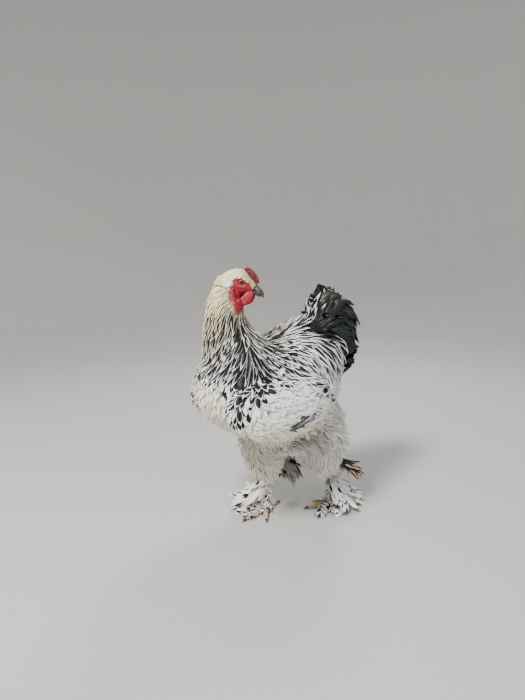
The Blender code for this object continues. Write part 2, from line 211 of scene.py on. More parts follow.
def joined_copy(name, nodes, swell=SWELL):
    """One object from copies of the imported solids, merged, and swollen a little so that they overlap."""
    whole = bmesh.new()
    for node in nodes:
        part = bmesh.new()
        part.from_mesh(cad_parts[node].data)
        bmesh.ops.remove_doubles(part, verts=part.verts, dist=1e-5)
        part.normal_update()
        for vertex in part.verts:
            vertex.co += vertex.normal * swell
        mesh = bpy.data.meshes.new(node + " copy")
        part.to_mesh(mesh)
        part.free()
        whole.from_mesh(mesh)
        bpy.data.meshes.remove(mesh)
    mesh = bpy.data.meshes.new(name)
    whole.to_mesh(mesh)
    whole.free()
    return link(name, mesh)


def apply_modifier(thing, kind, **settings):
    make_active(thing)
    modifier = thing.modifiers.new(kind.lower(), kind)
    for name, value in settings.items():
        setattr(modifier, name, value)
    bpy.ops.object.modifier_apply(modifier=modifier.name)


def remesh(thing, voxel, smoothing):
    """Merges a mesh into one closed surface of even grain, and rounds it."""
    apply_modifier(thing, "REMESH", mode="VOXEL", voxel_size=voxel)
    apply_modifier(thing, "SMOOTH", factor=0.5, iterations=smoothing)
    return thing


def smooth_shade(mesh):
    mesh.polygons.foreach_set("use_smooth", np.ones(len(mesh.polygons), bool))


def write_colours(mesh, title, values):
    layer = mesh.attributes.new(title, "FLOAT_COLOR", "POINT")
    layer.data.foreach_set("color", np.asarray(values, np.float32).ravel())


def triangle_corners(mesh, what="vertices"):
    """The three vertices, or loops, of each triangle of a mesh."""
    mesh.calc_loop_triangles()
    corners = np.empty(len(mesh.loop_triangles) * 3, np.int32)
    mesh.loop_triangles.foreach_get(what, corners)
    return corners.reshape(-1, 3)


def tree_of(mesh):
    corners = triangle_corners(mesh)
    return BVHTree.FromPolygons(read_points(mesh).tolist(), corners.tolist()), corners


def solids_tree():
    """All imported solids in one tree, with the kind of solid that each triangle belongs to."""
    points, corners, kinds = [], [], []
    start = 0
    for name, thing in sorted(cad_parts.items()):
        place = read_points(thing.data)
        own = triangle_corners(thing.data) + start
        kind = name.replace("_left", "").replace("_right", "")
        points += place.tolist()
        corners += own.tolist()
        kinds += [kind] * len(own)
        start += len(place)
    return BVHTree.FromPolygons(points, corners), np.array(kinds)


SOLIDS, SOLID_KINDS = solids_tree()


def kind_at(points):
    """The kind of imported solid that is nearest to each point."""
    return SOLID_KINDS[[SOLIDS.find_nearest(point)[2] for point in points.tolist()]]


def spread_over(mesh, values, rounds):
    """Evens values out over a mesh, from each vertex to its neighbours."""
    ends = np.empty(len(mesh.edges) * 2, np.int32)
    mesh.edges.foreach_get("vertices", ends)
    first, second = ends.reshape(-1, 2).T
    count = len(mesh.vertices)
    links = np.maximum(np.bincount(first, minlength=count) + np.bincount(second, minlength=count), 1)
    for _ in range(rounds):
        total = np.bincount(first, values[second], count) + np.bincount(second, values[first], count)
        values = 0.5 * values + 0.5 * total / links
    return values


# The skin

BROW_LINE = (
    (-0.0170, -0.0060), (-0.0125, 0.0030), (-0.0060, 0.0112), (0.0035, 0.0140), (0.0135, 0.0110),
    (0.0243, 0.0032), (0.0360, -0.0080),
)
REAR_LINE = (
    (-0.070, 0.0125), (-0.050, 0.0030), (-0.0334, -0.0120), (-0.0125, -0.0190), (-0.0105, -0.0085),
    (0.0, -0.0110), (0.0050, -0.0130),
)
THROAT_LINE = ((-0.070, 0.0110), (-0.054, 0.0200), (-0.044, 0.0300), (-0.040, 0.0600))


def bare_share(points):
    """1 on the naked face, comb, lobes, wattles and throat, 0 under feathers."""
    forward, left, up = in_head(points)
    below = smooth_step(0.0012, -0.0012, up - np.interp(forward, *zip(*BROW_LINE)))
    behind = smooth_step(-0.0012, 0.0012, forward - np.interp(up, *zip(*REAR_LINE)))
    front = smooth_step(0.0012, -0.0012, forward - np.interp(up, *zip(*THROAT_LINE)))
    above = smooth_step(-0.070, -0.066, up)
    seen = np.maximum(smooth_step(0.012, 0.006, left), smooth_step(-0.044, -0.040, up))
    return below * behind * front * above * seen


def on_comb(points):
    """1 on the pea comb and at its foot, 0 elsewhere on the head."""
    forward, left, up = in_head(points)
    line = 0.034 - 1.05 * np.clip(forward - 0.008, 0.0, 1.0) ** 1.15
    near = smooth_step(0.0190, 0.0170, np.abs(left)) * smooth_step(0.001, 0.005, forward)
    return near * smooth_step(-0.0145, -0.0120, up - line) * smooth_step(-0.001, 0.002, up)


# The comb's beads: width of a row, from row to row, from bead to bead, and their height
COMB_ROW = 0.0048
COMB_STEP = 0.0047
COMB_BEAD = 0.0040
COMB_RISE = 0.0030


def comb_height(points):
    """Three low rows of small beads, as a pea comb has."""
    forward, left, up = in_head(points)
    along = (forward - up) * 0.7071
    rows = np.cos(left / COMB_ROW * math.pi * 1.02) ** 2
    beads = 0.55 + 0.45 * np.cos(along / COMB_BEAD * 2 * math.pi + np.round(left / COMB_STEP) * 1.7)
    return on_comb(points) * (rows * beads * COMB_RISE - 0.0010)


def shape_comb(points, normals):
    return points + normals * comb_height(points)[:, None]


def lid_ring(points):
    """How far out each place lies from the middle of the eye's opening, 1 at the lids' edge."""
    forward, _, up = in_head(points)
    ahead = (forward - EYE_FORWARD - 0.0006) / LID_LENGTH
    above = (up - EYE_UP + 0.0004) / LID_HEIGHT
    return np.sqrt(ahead ** 2 + above ** 2 + 0.25 * ahead * above)


def shape_lids(points, normals, sign):
    """Opens the skin over one eyeball, with thick rims that lie close round it."""
    here = sign * in_head(points)[1] > 0.008
    ring = lid_ring(points)
    middle = on_head(EYE_FORWARD, sign * EYE_SIDE, EYE_UP)
    out = points - middle
    far = np.linalg.norm(out, axis=1)
    hug = EYE_RADIUS + 0.0007 + 0.0007 * np.exp(-((ring - 1.22) / 0.20) ** 2)
    close = np.where(here, smooth_step(2.1, 1.45, ring), 0.0)
    closer = middle + unit(out) * (far + (hug - far) * close)[:, None]
    sunk = np.where(here, smooth_step(1.06, 0.80, ring), 0.0)
    inwards = -sign * HEAD_AXES[1]
    folds = np.where(here, 0.00045 * np.cos((ring - 1.2) * 9.0) * smooth_step(3.0, 1.3, ring), 0.0)
    folds *= smooth_step(1.0, 1.3, ring)
    return closer + inwards * (sunk * 0.0060)[:, None] + normals * folds[:, None]


def line_gap(flat, start, end):
    """How far flat points are from a line between two places, and how far along it they lie, from 0 to 1."""
    start, end = np.array(start), np.array(end)
    span = end - start
    share = np.clip((flat - start) @ span / (span @ span), 0.0, 1.0)
    return np.linalg.norm(flat - start - share[:, None] * span, axis=1), share


def ridge(points, start, end, width, height):
    """Height of a soft fold that runs from one place on the head to another."""
    forward, _, up = in_head(points)
    gap, share = line_gap(np.stack((forward, up), 1), start, end)
    return height * np.exp(-(gap / width) ** 2) * smooth_step(0.0, 0.12, share) * smooth_step(1.0, 0.8, share)


# Folds of the face, from one place to another on its side, with their width and height
FACE_FOLDS = (
    ((0.0280, -0.0150), (0.0000, -0.0470), 0.0021, 0.0018),
    ((0.0310, -0.0200), (0.0060, -0.0500), 0.0017, -0.0015),
    ((0.0240, -0.0110), (-0.0040, -0.0400), 0.0018, -0.0011),
    ((0.0200, -0.0060), (-0.0060, -0.0085), 0.0030, 0.0008),
    ((-0.0105, -0.0110), (0.0080, -0.0600), 0.0017, 0.0015),
    ((-0.0060, -0.0130), (0.0110, -0.0560), 0.0016, -0.0019),
    ((-0.0145, -0.0140), (-0.0010, -0.0480), 0.0014, -0.0012),
)
BROWS = (
    ((0.0243, 0.0030), (0.0020, 0.0125), 0.0032, 0.0024),
    ((0.0080, 0.0120), (-0.0160, 0.0060), 0.0032, 0.0020),
)


def off_wattles(points):
    """0 on the wattles, which hang smooth below the bill, and 1 on the rest of the head."""
    forward, _, up = in_head(points)
    above = smooth_step(-0.0045, -0.0020, up + 0.0150 - 1.143 * (forward - 0.0280))
    return np.maximum(above, smooth_step(0.008, 0.004, forward))


def fold_height(points, folds):
    return sum(ridge(points, *fold) for fold in folds) * off_wattles(points)


def shape_face(points, normals):
    height = fold_height(points, FACE_FOLDS + BROWS)
    crease = np.sin(points[:, 0] * 1900 + np.sin(points[:, 2] * 1500) * 2) * np.sin(points[:, 2] * 2100)
    height += bare_share(points) * crease * 0.00018
    return points + normals * height[:, None]


# The middle of the ball of each foot, and the length and rise of the plates on toes and shanks
PADS = {"left": np.array((0.042, 0.1263)), "right": np.array((-0.022, -0.0317))}
TOE_REACH = 0.12
TOE_PLATE = 0.0042
TOE_PLATE_RISE = 0.0007
SHANK_PLATE = 0.0050
SHANK_PLATE_RISE = 0.0006


def shape_scutes(points, normals, kinds):
    """Overlapping plates across the top of the toes and down the front of the shanks."""
    height = np.zeros(len(points))
    for pad in PADS.values():
        far = np.linalg.norm(points[:, :2] - pad, axis=1)
        toes = (np.char.startswith(kinds, "toe")) & (far < TOE_REACH)
        steps = (far / TOE_PLATE) % 1.0
        height += toes * np.clip(normals[:, 2] + 0.3, 0, 1) * (steps ** 0.6 - 0.5) * TOE_PLATE_RISE
    shank = kinds == "shank"
    steps = (points[:, 2] / SHANK_PLATE) % 1.0
    height += shank * (steps ** 0.6 - 0.5) * SHANK_PLATE_RISE
    return points + normals * height[:, None]


# The greatest share of the flesh's thickness that the coat's depth may take
THIN_SHARE = 0.36


def sink(thing):
    """Draws a remeshed body of solids inwards by the coat's depth, less where the flesh is thin."""
    mesh = thing.data
    points = read_points(mesh)
    kinds = kind_at(points)
    depth = np.zeros(len(points))
    for kind, value in COAT_DEPTH.items():
        depth[kinds == kind] = value
    depth *= 1 - bare_share(points)
    depth = spread_over(mesh, depth, 12)
    tree, _ = tree_of(mesh)
    normals = read_points(mesh, "normal")
    inside = points - normals * 0.0008
    hits = [tree.ray_cast(at, way) for at, way in zip(inside.tolist(), (-normals).tolist())]
    thick = np.array([hit[3] if hit[3] is not None else 1.0 for hit in hits])
    depth = np.minimum(depth, thick * THIN_SHARE)
    depth = spread_over(mesh, depth, 6)
    for _ in range(3):
        write_points(mesh, read_points(mesh) - read_points(mesh, "normal") * (depth / 3)[:, None])


# Soft lumps of flesh that close the hollow between the cheeks and the wattles: place and sizes
CHIN_LUMPS = (
    ((0.0110, 0.0, -0.0260), (0.0120, 0.0080, 0.0110)),
    ((0.0120, 0.0, -0.0400), (0.0085, 0.0050, 0.0110)),
)


def add_lumps(thing, lumps):
    """Joins small balls to a mesh before it is remeshed as one."""
    whole = bmesh.new()
    whole.from_mesh(thing.data)
    for place, sizes in lumps:
        turn = Matrix((HEAD_AXES * np.array(sizes)[:, None]).T).to_4x4()
        turn.translation = Vector(on_head(*place))
        bmesh.ops.create_icosphere(whole, subdivisions=3, radius=1.0, matrix=turn)
    whole.to_mesh(thing.data)
    whole.free()


def make_flesh(name, nodes, voxel, smoothing, lumps=()):
    thing = joined_copy(name, nodes)
    add_lumps(thing, lumps)
    return remesh(thing, voxel, smoothing)


def shape_head(thing):
    mesh = thing.data
    for change in (
        shape_comb,
        lambda points, normals: shape_lids(points, normals, 1),
        lambda points, normals: shape_lids(points, normals, -1),
        shape_face,
    ):
        write_points(mesh, change(read_points(mesh), read_points(mesh, "normal")))


def tuck_in(thing, kinds, amount=0.0025):
    """Draws some coarse parts inwards, where a finer piece of the same shape goes over them."""
    points = read_points(thing.data)
    inwards = spread_over(thing.data, np.isin(kind_at(points), kinds) * amount, 3)
    write_points(thing.data, points - read_points(thing.data, "normal") * inwards[:, None])


def smooth_under_coat(thing, iterations):
    """Evens out the skin where feathers cover it."""
    depth = np.array([COAT_DEPTH.get(kind, 0.0) for kind in kind_at(read_points(thing.data))])
    group = thing.vertex_groups.new(name="under coat")
    group.add(np.nonzero(depth > 0.005)[0].tolist(), 1.0, "REPLACE")
    apply_modifier(thing, "SMOOTH", factor=0.5, iterations=iterations, vertex_group=group.name)


def shape_legs(thing):
    points = read_points(thing.data)
    points = shape_scutes(points, read_points(thing.data, "normal"), kind_at(points))
    points[:, 2] = np.maximum(points[:, 2], 0.0)
    write_points(thing.data, points)


def make_skin():
    """One closed skin: the body, united with the finer head and legs, then drawn in under the coat."""
    body = make_flesh("skin", BODY_FLESH + HEAD_FLESH[:1] + sided("shank"), BODY_VOXEL, 6)
    tuck_in(body, ("head", "shank"))
    head = make_flesh("head flesh", HEAD_FLESH, HEAD_VOXEL, 3, CHIN_LUMPS)
    legs = make_flesh("leg flesh", LEG_FLESH, LEG_VOXEL, 2)
    for piece in (head, legs):
        apply_modifier(body, "BOOLEAN", operation="UNION", solver="EXACT", object=piece)
        bpy.data.objects.remove(piece)
    outside = read_points(body.data)
    sink(body)
    smooth_under_coat(body, 8)
    shape_head(body)
    shape_legs(body)
    smooth_shade(body.data)
    return body, outside


SKIN, OUTSIDE = make_skin()
SKIN_POINTS = read_points(SKIN.data)
SKIN_NORMALS = read_points(SKIN.data, "normal")
SKIN_TREE, SKIN_CORNERS = tree_of(SKIN.data)
SKIN_KINDS = kind_at(SKIN_POINTS)
SKIN_DEPTHS = np.clip(((OUTSIDE - SKIN_POINTS) * SKIN_NORMALS).sum(1), 0.0006, 0.030)
SKIN_DEPTHS = spread_over(SKIN.data, SKIN_DEPTHS, 4)


def unwrap_skin():
    """Unfolds the skin's own shape, and returns each triangle's three places on it."""
    make_active(SKIN)
    bpy.ops.object.mode_set(mode="EDIT")
    bpy.ops.mesh.select_all(action="SELECT")
    bpy.ops.uv.smart_project(angle_limit=math.radians(66), island_margin=0.002)
    bpy.ops.object.mode_set(mode="OBJECT")
    mesh = SKIN.data
    layer = np.empty(len(mesh.loops) * 2, np.float32)
    mesh.uv_layers.active.uv.foreach_get("vector", layer)
    return layer.reshape(-1, 2)[triangle_corners(mesh, "loops")]


SKIN_UNFOLDED = unwrap_skin()


def skin_near(points):
    """For each point: the nearest place on the skin, the smooth normal there, and the coat's depth."""
    hits = [SKIN_TREE.find_nearest(point) for point in points.tolist()]
    places = np.array([hit[0] for hit in hits])
    corners = SKIN_CORNERS[[hit[2] for hit in hits]]
    gaps = np.linalg.norm(SKIN_POINTS[corners] - places[:, None], axis=2)
    weights = 1 / (gaps + 1e-5)
    weights /= weights.sum(1, keepdims=True)
    normals = unit((SKIN_NORMALS[corners] * weights[..., None]).sum(1))
    return places, normals, (SKIN_DEPTHS[corners] * weights).sum(1)


# How the coat lies: places and the way that the feathers point there
LIE_BOTH_SIDES = (
    ((0.00, -0.215, 0.370), (0.0, -0.2, -1.0)),
    ((0.05, -0.205, 0.350), (0.1, 0.1, -1.0)),
    ((0.00, -0.190, 0.300), (0.0, 0.4, -1.0)),
    ((0.08, -0.165, 0.330), (0.2, 0.3, -1.0)),
    ((0.06, -0.160, 0.270), (0.1, 0.7, -0.9)),
    ((0.00, -0.130, 0.235), (0.0, 1.0, -0.5)),
    ((0.00, -0.020, 0.470), (0.0, 1.0, 0.05)),
    ((0.00, 0.050, 0.490), (0.0, 1.0, 0.25)),
    ((0.048, -0.036, 0.454), (0.48, 0.76, -0.35)),
    ((0.047, 0.022, 0.473), (0.50, 0.80, -0.25)),
    ((0.096, -0.054, 0.416), (0.40, 0.64, -0.65)),
    ((0.100, -0.030, 0.414), (0.40, 0.68, -0.62)),
    ((0.114, -0.067, 0.386), (0.37, 0.60, -0.70)),
    ((0.120, -0.020, 0.385), (0.30, 0.60, -0.75)),
    ((0.095, 0.016, 0.444), (0.45, 0.72, -0.50)),
    ((0.111, 0.034, 0.409), (0.30, 0.50, -0.80)),
    ((0.112, 0.063, 0.382), (0.15, 0.30, -0.93)),
    ((0.095, 0.096, 0.351), (0.05, 0.17, -0.98)),
    ((0.090, 0.070, 0.450), (0.25, 0.80, -0.60)),
    ((0.100, 0.100, 0.410), (0.05, 0.40, -1.0)),
    ((0.075, 0.120, 0.390), (-0.1, 0.45, -1.1)),
    ((0.00, 0.150, 0.350), (0.0, 0.5, -1.0)),
    ((0.10, -0.175, 0.330), (0.2, 0.8, -0.5)),
    ((0.13, -0.120, 0.350), (0.1, 1.0, -0.25)),
    ((0.14, -0.080, 0.310), (0.05, 1.0, -0.12)),
    ((0.14, -0.020, 0.330), (0.0, 1.0, -0.10)),
    ((0.13, 0.030, 0.340), (-0.1, 1.0, -0.10)),
    ((0.12, -0.110, 0.260), (0.05, 1.0, 0.02)),
    ((0.13, -0.020, 0.275), (0.0, 1.0, 0.15)),
    ((0.12, 0.050, 0.310), (-0.1, 1.0, 0.10)),
    ((0.00, -0.040, 0.160), (0.0, 1.0, -0.4)),
    ((0.08, 0.060, 0.200), (0.1, 0.6, -1.0)),
    ((0.00, 0.100, 0.170), (0.0, 0.8, -0.9)),
    ((0.00, 0.160, 0.230), (0.0, 0.4, -1.0)),
    ((0.06, 0.140, 0.270), (0.1, 0.3, -1.0)),
    ((0.00, 0.085, 0.530), (0.0, 0.25, 1.0)),
    ((0.05, 0.090, 0.500), (0.15, 0.5, 1.0)),
    ((0.05, 0.130, 0.540), (0.1, 0.9, 0.5)),
    ((0.00, 0.150, 0.575), (0.0, 1.0, 0.4)),
    ((0.00, 0.200, 0.550), (0.0, 0.7, -0.8)),
    ((0.05, 0.180, 0.510), (0.1, 0.6, -0.8)),
    ((0.00, 0.215, 0.480), (0.0, 0.2, -1.0)),
    ((0.05, 0.190, 0.440), (0.0, 0.25, -1.0)),
    ((0.00, 0.190, 0.400), (0.0, 0.1, -1.0)),
    ((0.07, 0.110, 0.490), (0.2, 0.9, 0.15)),
    ((0.08, 0.140, 0.470), (0.1, 0.8, -0.6)),
    ((0.07, 0.165, 0.430), (0.0, 0.4, -1.0)),
)
LIE_ONE_SIDE = (
    ((-0.016, -0.118, 0.600), (-0.1, 0.3, -1.0)),
    ((0.000, -0.100, 0.540), (0.0, 0.25, -1.0)),
    ((0.000, -0.080, 0.480), (0.0, 0.40, -1.0)),
    ((0.000, -0.050, 0.440), (0.0, 1.0, -0.45)),
    ((0.000, -0.190, 0.540), (-0.05, -0.12, -1.0)),
    ((0.000, -0.200, 0.480), (-0.08, -0.15, -1.0)),
    ((0.000, -0.215, 0.420), (-0.10, -0.20, -1.0)),
    ((0.046, -0.167, 0.509), (-0.18, -0.28, -0.95)),
    ((0.032, -0.198, 0.420), (-0.24, -0.36, -0.90)),
    ((0.070, -0.156, 0.455), (-0.26, -0.42, -0.85)),
    ((0.085, -0.170, 0.400), (-0.35, -0.55, -0.80)),
    ((0.112, -0.176, 0.355), (-0.35, -0.60, -0.70)),
    ((0.104, -0.138, 0.393), (-0.15, -0.30, -0.95)),
    ((0.120, -0.150, 0.365), (-0.20, -0.25, -0.90)),
    ((0.116, -0.188, 0.330), (-0.25, -0.15, -0.90)),
    ((0.100, -0.200, 0.300), (-0.10, 0.20, -0.95)),
    ((0.121, -0.131, 0.373), (0.15, 0.30, -0.90)),
    ((0.050, -0.108, 0.476), (0.05, 0.10, -1.0)),
    ((0.056, -0.090, 0.459), (0.21, 0.34, -0.90)),
    ((0.077, -0.077, 0.434), (0.32, 0.51, -0.80)),
    ((0.094, -0.099, 0.420), (0.25, 0.35, -0.90)),
    ((0.107, -0.088, 0.394), (0.30, 0.45, -0.85)),
    ((-0.050, -0.100, 0.480), (-0.30, 0.20, -1.0)),
    ((-0.085, -0.110, 0.430), (-0.40, 0.20, -0.9)),
    ((-0.040, -0.150, 0.500), (-0.10, -0.10, -1.0)),
    ((-0.080, -0.160, 0.420), (-0.30, -0.20, -1.0)),
    ((-0.080, -0.070, 0.430), (-0.45, 0.60, -0.7)),
    ((-0.112, -0.170, 0.355), (0.20, -0.10, -0.90)),
    ((-0.050, -0.030, 0.220), (-0.10, 0.15, -1.0)),
    ((-0.050, -0.085, 0.170), (-0.10, -0.10, -1.0)),
    ((-0.040, -0.020, 0.090), (0.0, 0.10, -1.0)),
    ((-0.040, 0.020, 0.140), (0.0, 0.70, -0.9)),
    ((0.070, -0.060, 0.215), (0.10, 0.90, -0.5)),
    ((0.085, 0.010, 0.200), (0.15, 0.80, -0.6)),
    ((0.100, 0.060, 0.200), (0.05, 0.80, -0.5)),
    ((0.080, 0.105, 0.170), (0.0, 0.10, -1.0)),
    ((0.090, 0.060, 0.150), (0.0, 0.20, -1.0)),
    ((0.045, 0.130, 0.110), (0.0, 0.40, -1.0)),
    ((0.060, 0.170, 0.160), (0.1, 0.70, -0.8)),
    ((0.040, 0.135, 0.050), (0.1, 0.30, -1.0)),
    ((-0.025, -0.040, 0.050), (-0.1, 0.0, -1.0)),
)
LIE_ON_HEAD = (
    ((0.020, 0.000, 0.028), (-1.0, 0.0, 0.25)),
    ((0.000, 0.000, 0.032), (-1.0, 0.0, 0.0)),
    ((-0.025, 0.000, 0.028), (-1.0, 0.0, -0.6)),
    ((-0.042, 0.000, 0.005), (-0.4, 0.0, -1.0)),
    ((-0.042, 0.000, -0.020), (0.0, 0.0, -1.0)),
    ((0.020, 0.015, 0.012), (-1.0, 0.2, 0.15)),
    ((0.000, 0.022, 0.012), (-1.0, 0.1, -0.1)),
    ((-0.015, 0.023, 0.000), (-1.0, 0.1, -0.5)),
    ((-0.020, 0.023, -0.020), (-0.5, 0.1, -1.0)),
    ((0.030, 0.010, 0.000), (-1.0, 0.3, 0.2)),
)


def lie_table():
    places, ways = [], []
    for place, way in LIE_BOTH_SIDES:
        for sign in (1, -1):
            places.append((sign * place[0], *place[1:]))
            ways.append((sign * way[0], *way[1:]))
    for place, way in LIE_ONE_SIDE:
        places.append(place)
        ways.append(way)
    for place, way in LIE_ON_HEAD:
        for sign in (1, -1):
            places.append(on_head(place[0], sign * place[1], place[2]))
            ways.append(np.array((way[0], sign * way[1], way[2])) @ HEAD_AXES)
    return np.array(places), unit(np.array(ways))


LIE_PLACES, LIE_WAYS = lie_table()


def lie_at(points, normals):
    """The way that the coat lies at each point, along the skin."""
    gaps = ((points[:, None] - LIE_PLACES[None]) ** 2).sum(2)
    weights = 1 / (gaps + 1e-4) ** 2
    ways = weights @ LIE_WAYS
    ways -= normals * (ways * normals).sum(1, keepdims=True)
    return unit(ways)


# Feathers

def scatter(triangles, gap_at):
    """Roots over some of the skin's triangles, no closer than the gap: triangle, place and unfolded place."""
    corners = SKIN_POINTS[SKIN_CORNERS[triangles]]
    areas = np.linalg.norm(np.cross(corners[:, 1] - corners[:, 0], corners[:, 2] - corners[:, 0]), axis=1) / 2
    gaps = gap_at(corners.mean(1))
    wanted = areas / gaps ** 2
    tries = int(wanted.sum() * 5)
    summed = np.cumsum(wanted)
    chosen = np.searchsorted(summed, CHANCE.random(tries) * summed[-1])
    first, second = CHANCE.random(tries), CHANCE.random(tries)
    root = np.sqrt(first)
    shares = np.stack((1 - root, root * (1 - second), root * second), 1)
    places = (corners[chosen] * shares[..., None]).sum(1)
    gaps = gaps[chosen]
    tree = KDTree(tries)
    for index, place in enumerate(places.tolist()):
        tree.insert(place, index)
    tree.balance()
    gone = np.zeros(tries, bool)
    kept = []
    for index, place in enumerate(places.tolist()):
        if gone[index]:
            continue
        kept.append(index)
        for _, other, _ in tree.find_range(place, gaps[index]):
            gone[other] = True
    kept = np.array(kept)
    unfolded = (SKIN_UNFOLDED[triangles[chosen[kept]]] * shares[kept][..., None]).sum(1)
    return places[kept], unfolded


def lay_lines(roots, lengths, steps, lift=1.0, hug=0.25, sway=0.12, curl=0.0, turn=None, wave=0.0,
              wave_length=0.03, loose=0.10, rise=0.0, lie=None):
    """Centrelines that run along the skin with the lie of the coat and rise from it to the coat's depth."""
    count = len(roots)
    lie = lie or lie_at
    near, ups, depths = skin_near(roots)
    points = near - ups * ROOT_DEPTH
    ways = lie(points, ups)
    aside = CHANCE.normal(0, sway, count) if turn is None else turn
    ways = unit(ways + np.cross(ups, ways) * aside[:, None])
    step = (lengths / steps)[:, None]
    bend = CHANCE.normal(0, curl, count)[:, None]
    own_lift = lift * (1 + CHANCE.normal(0, loose, count))
    lines, normals = [points], [ups]
    for index in range(1, steps + 1):
        ahead = points + ways * step
        near, ups, depths = skin_near(ahead)
        height = ((ahead - near) * ups).sum(1)
        share = index / steps
        goal = 0.0004 + depths * own_lift * share ** 0.85 + rise * share ** 1.5
        shift = np.clip(goal - height, -hug * step[:, 0], 0.8 * step[:, 0])
        moved = ahead + ups * shift[:, None]
        ways = unit(moved - points)
        side = aside + wave * ripple(moved, wave_length)
        across = np.cross(ups, ways)
        ways = unit(ways + 0.35 * (lie(moved, ups) + across * side[:, None] - ways) + across * bend)
        points = moved
        lines.append(points)
        normals.append(ups)
    return np.stack(lines, 1), np.stack(normals, 1)


# Half width of a vane along its length, as shares of its greatest half width
OUTLINES = {
    "round": ((0, 0.30), (0.12, 0.62), (0.35, 0.95), (0.6, 1.0), (0.8, 0.90), (0.93, 0.62), (1, 0.22)),
    "pointed": ((0, 0.30), (0.15, 0.70), (0.4, 1.0), (0.6, 0.90), (0.8, 0.58), (0.93, 0.24), (1, 0.04)),
    "blade": ((0, 0.35), (0.2, 0.85), (0.5, 1.0), (0.75, 0.75), (0.9, 0.45), (1, 0.10)),
    "quill": ((0, 0.25), (0.12, 0.60), (0.3, 0.92), (0.6, 1.0), (0.85, 0.92), (0.95, 0.66), (1, 0.25)),
}


class Coat:
    """Collects vanes of one part of the coat, then makes one mesh of them."""

    def __init__(self, name):
        self.name = name
        self.points, self.faces, self.vane, self.bake = [], [], [], []
        self.ground, self.marks = [], []
        self.count = 0

    def add(self, lines, normals, widths, unfolded, ground, marks,
            outline="round", camber=0.22, thick=0.00035, ragged=0.06, columns=3):
        """Closed thin vanes round centrelines. Their faces run along the edges of the dark stripe."""
        amount, rows = lines.shape[:2]
        shares = np.linspace(0, 1, rows)
        shape = np.array(OUTLINES[outline])
        half = np.interp(shares, shape[:, 0], shape[:, 1])[None] * widths[:, None] / 2
        along = unit(np.gradient(lines, axis=1))
        ups = unit(normals - along * (normals * along).sum(2, keepdims=True))
        aside = np.cross(along, ups)
        stripe = np.clip(0.5 - marks[:, 0], 0.10, 0.40)
        if columns == 3:
            places = [np.zeros(amount), stripe, np.full(amount, 0.5), 1 - stripe, np.ones(amount)]
        else:
            places = [np.zeros(amount), np.full(amount, 0.5), np.ones(amount)]
        ring, across = [], []
        for place in places:
            side = 2 * place - 1
            loose = 1 + CHANCE.normal(0, ragged, (amount, rows)) * (np.abs(side) > 0.9)[:, None]
            reach = half * loose * side[:, None]
            drop = -camber * half * side[:, None] ** 2 + thick * (1 - side[:, None] ** 2)
            ring.append(lines + aside * reach[..., None] + ups * drop[..., None])
            across.append(np.repeat(place[:, None], rows, 1))
        ring.append(lines - ups * thick)
        across.append(np.full((amount, rows), 0.5))
        ring = np.stack(ring, 2)
        across = np.stack(across, 2)
        size = ring.shape[2]
        lengthwise = np.broadcast_to(shares[None, :, None], across.shape)
        index = np.arange(rows * size).reshape(rows, size)
        after = np.roll(index, -1, axis=1)
        sides = np.stack((index[:-1], after[:-1], after[1:], index[1:]), -1).reshape(-1, 4)
        if size == 6:
            cap = np.array(((0, 1, 2, 5), (2, 3, 4, 5)))
        else:
            cap = np.array(((0, 1, 2, 3),))
        faces = np.concatenate((sides, cap[:, ::-1], cap + (rows - 1) * size))
        starts = self.count + np.arange(amount)[:, None, None] * rows * size
        self.faces.append((faces[None] + starts).reshape(-1, 4))
        self.points.append(ring.reshape(-1, 3))
        vane = np.stack((across, lengthwise), -1).reshape(amount, -1, 2)
        self.vane.append(vane.reshape(-1, 2))
        self.bake.append((unfolded[:, None] + (vane - 0.5) * BAKE_PATCH).reshape(-1, 2))
        self.ground.append(np.repeat(ground, rows * size, axis=0))
        self.marks.append(np.repeat(marks, rows * size, axis=0))
        self.count += amount * rows * size

    def finish(self, material, slot, *replaced):
        points = np.concatenate(self.points)
        points[:, 2] = np.maximum(points[:, 2], FLOOR_GAP)
        faces = np.concatenate(self.faces)
        mesh = bpy.data.meshes.new(self.name)
        mesh.vertices.add(len(points))
        mesh.vertices.foreach_set("co", points.astype(np.float32).ravel())
        mesh.loops.add(faces.size)
        mesh.loops.foreach_set("vertex_index", faces.astype(np.int32).ravel())
        mesh.polygons.add(len(faces))
        mesh.polygons.foreach_set("loop_start", np.arange(0, faces.size, 4, dtype=np.int32))
        mesh.update(calc_edges=True)
        smooth_shade(mesh)
        for title, values in (("OFBake", self.bake), ("Vane", self.vane)):
            layer = mesh.uv_layers.new(name=title)
            corners = np.concatenate(values)[faces.ravel()]
            layer.uv.foreach_set("vector", corners.astype(np.float32).ravel())
        write_colours(mesh, "Ground", np.concatenate(self.ground))
        write_colours(mesh, "Marks", np.concatenate(self.marks))
        mesh.set_sharp_from_angle(angle=math.radians(70))
        mesh.materials.append(material)
        thing = link(self.name, mesh)
        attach(thing, "root")
        if replaced:
            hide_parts(*replaced)
        print(self.name, len(faces) * 2, "triangles")
        return thing


def toned(colours, spread=0.05):
    """Colours with a little chance in how bright each feather is, and a number that varies its grain."""
    count = len(colours)
    bright = 1 + CHANCE.normal(0, spread, count)
    return np.concatenate((np.clip(colours * bright[:, None], 0.004, 0.95), CHANCE.random((count, 1))), 1)


def stripes(count, width=0.0, start=0.3, end=0.95, gloss=0.0):
    """The dark centre stripe: half its width, and where it starts and ends along the vane."""
    marks = np.zeros((count, 4))
    for column, value in enumerate((width, start, end, gloss)):
        marks[:, column] = value
    return marks


# Markings of each part of the coat, for roots and for the skin under them

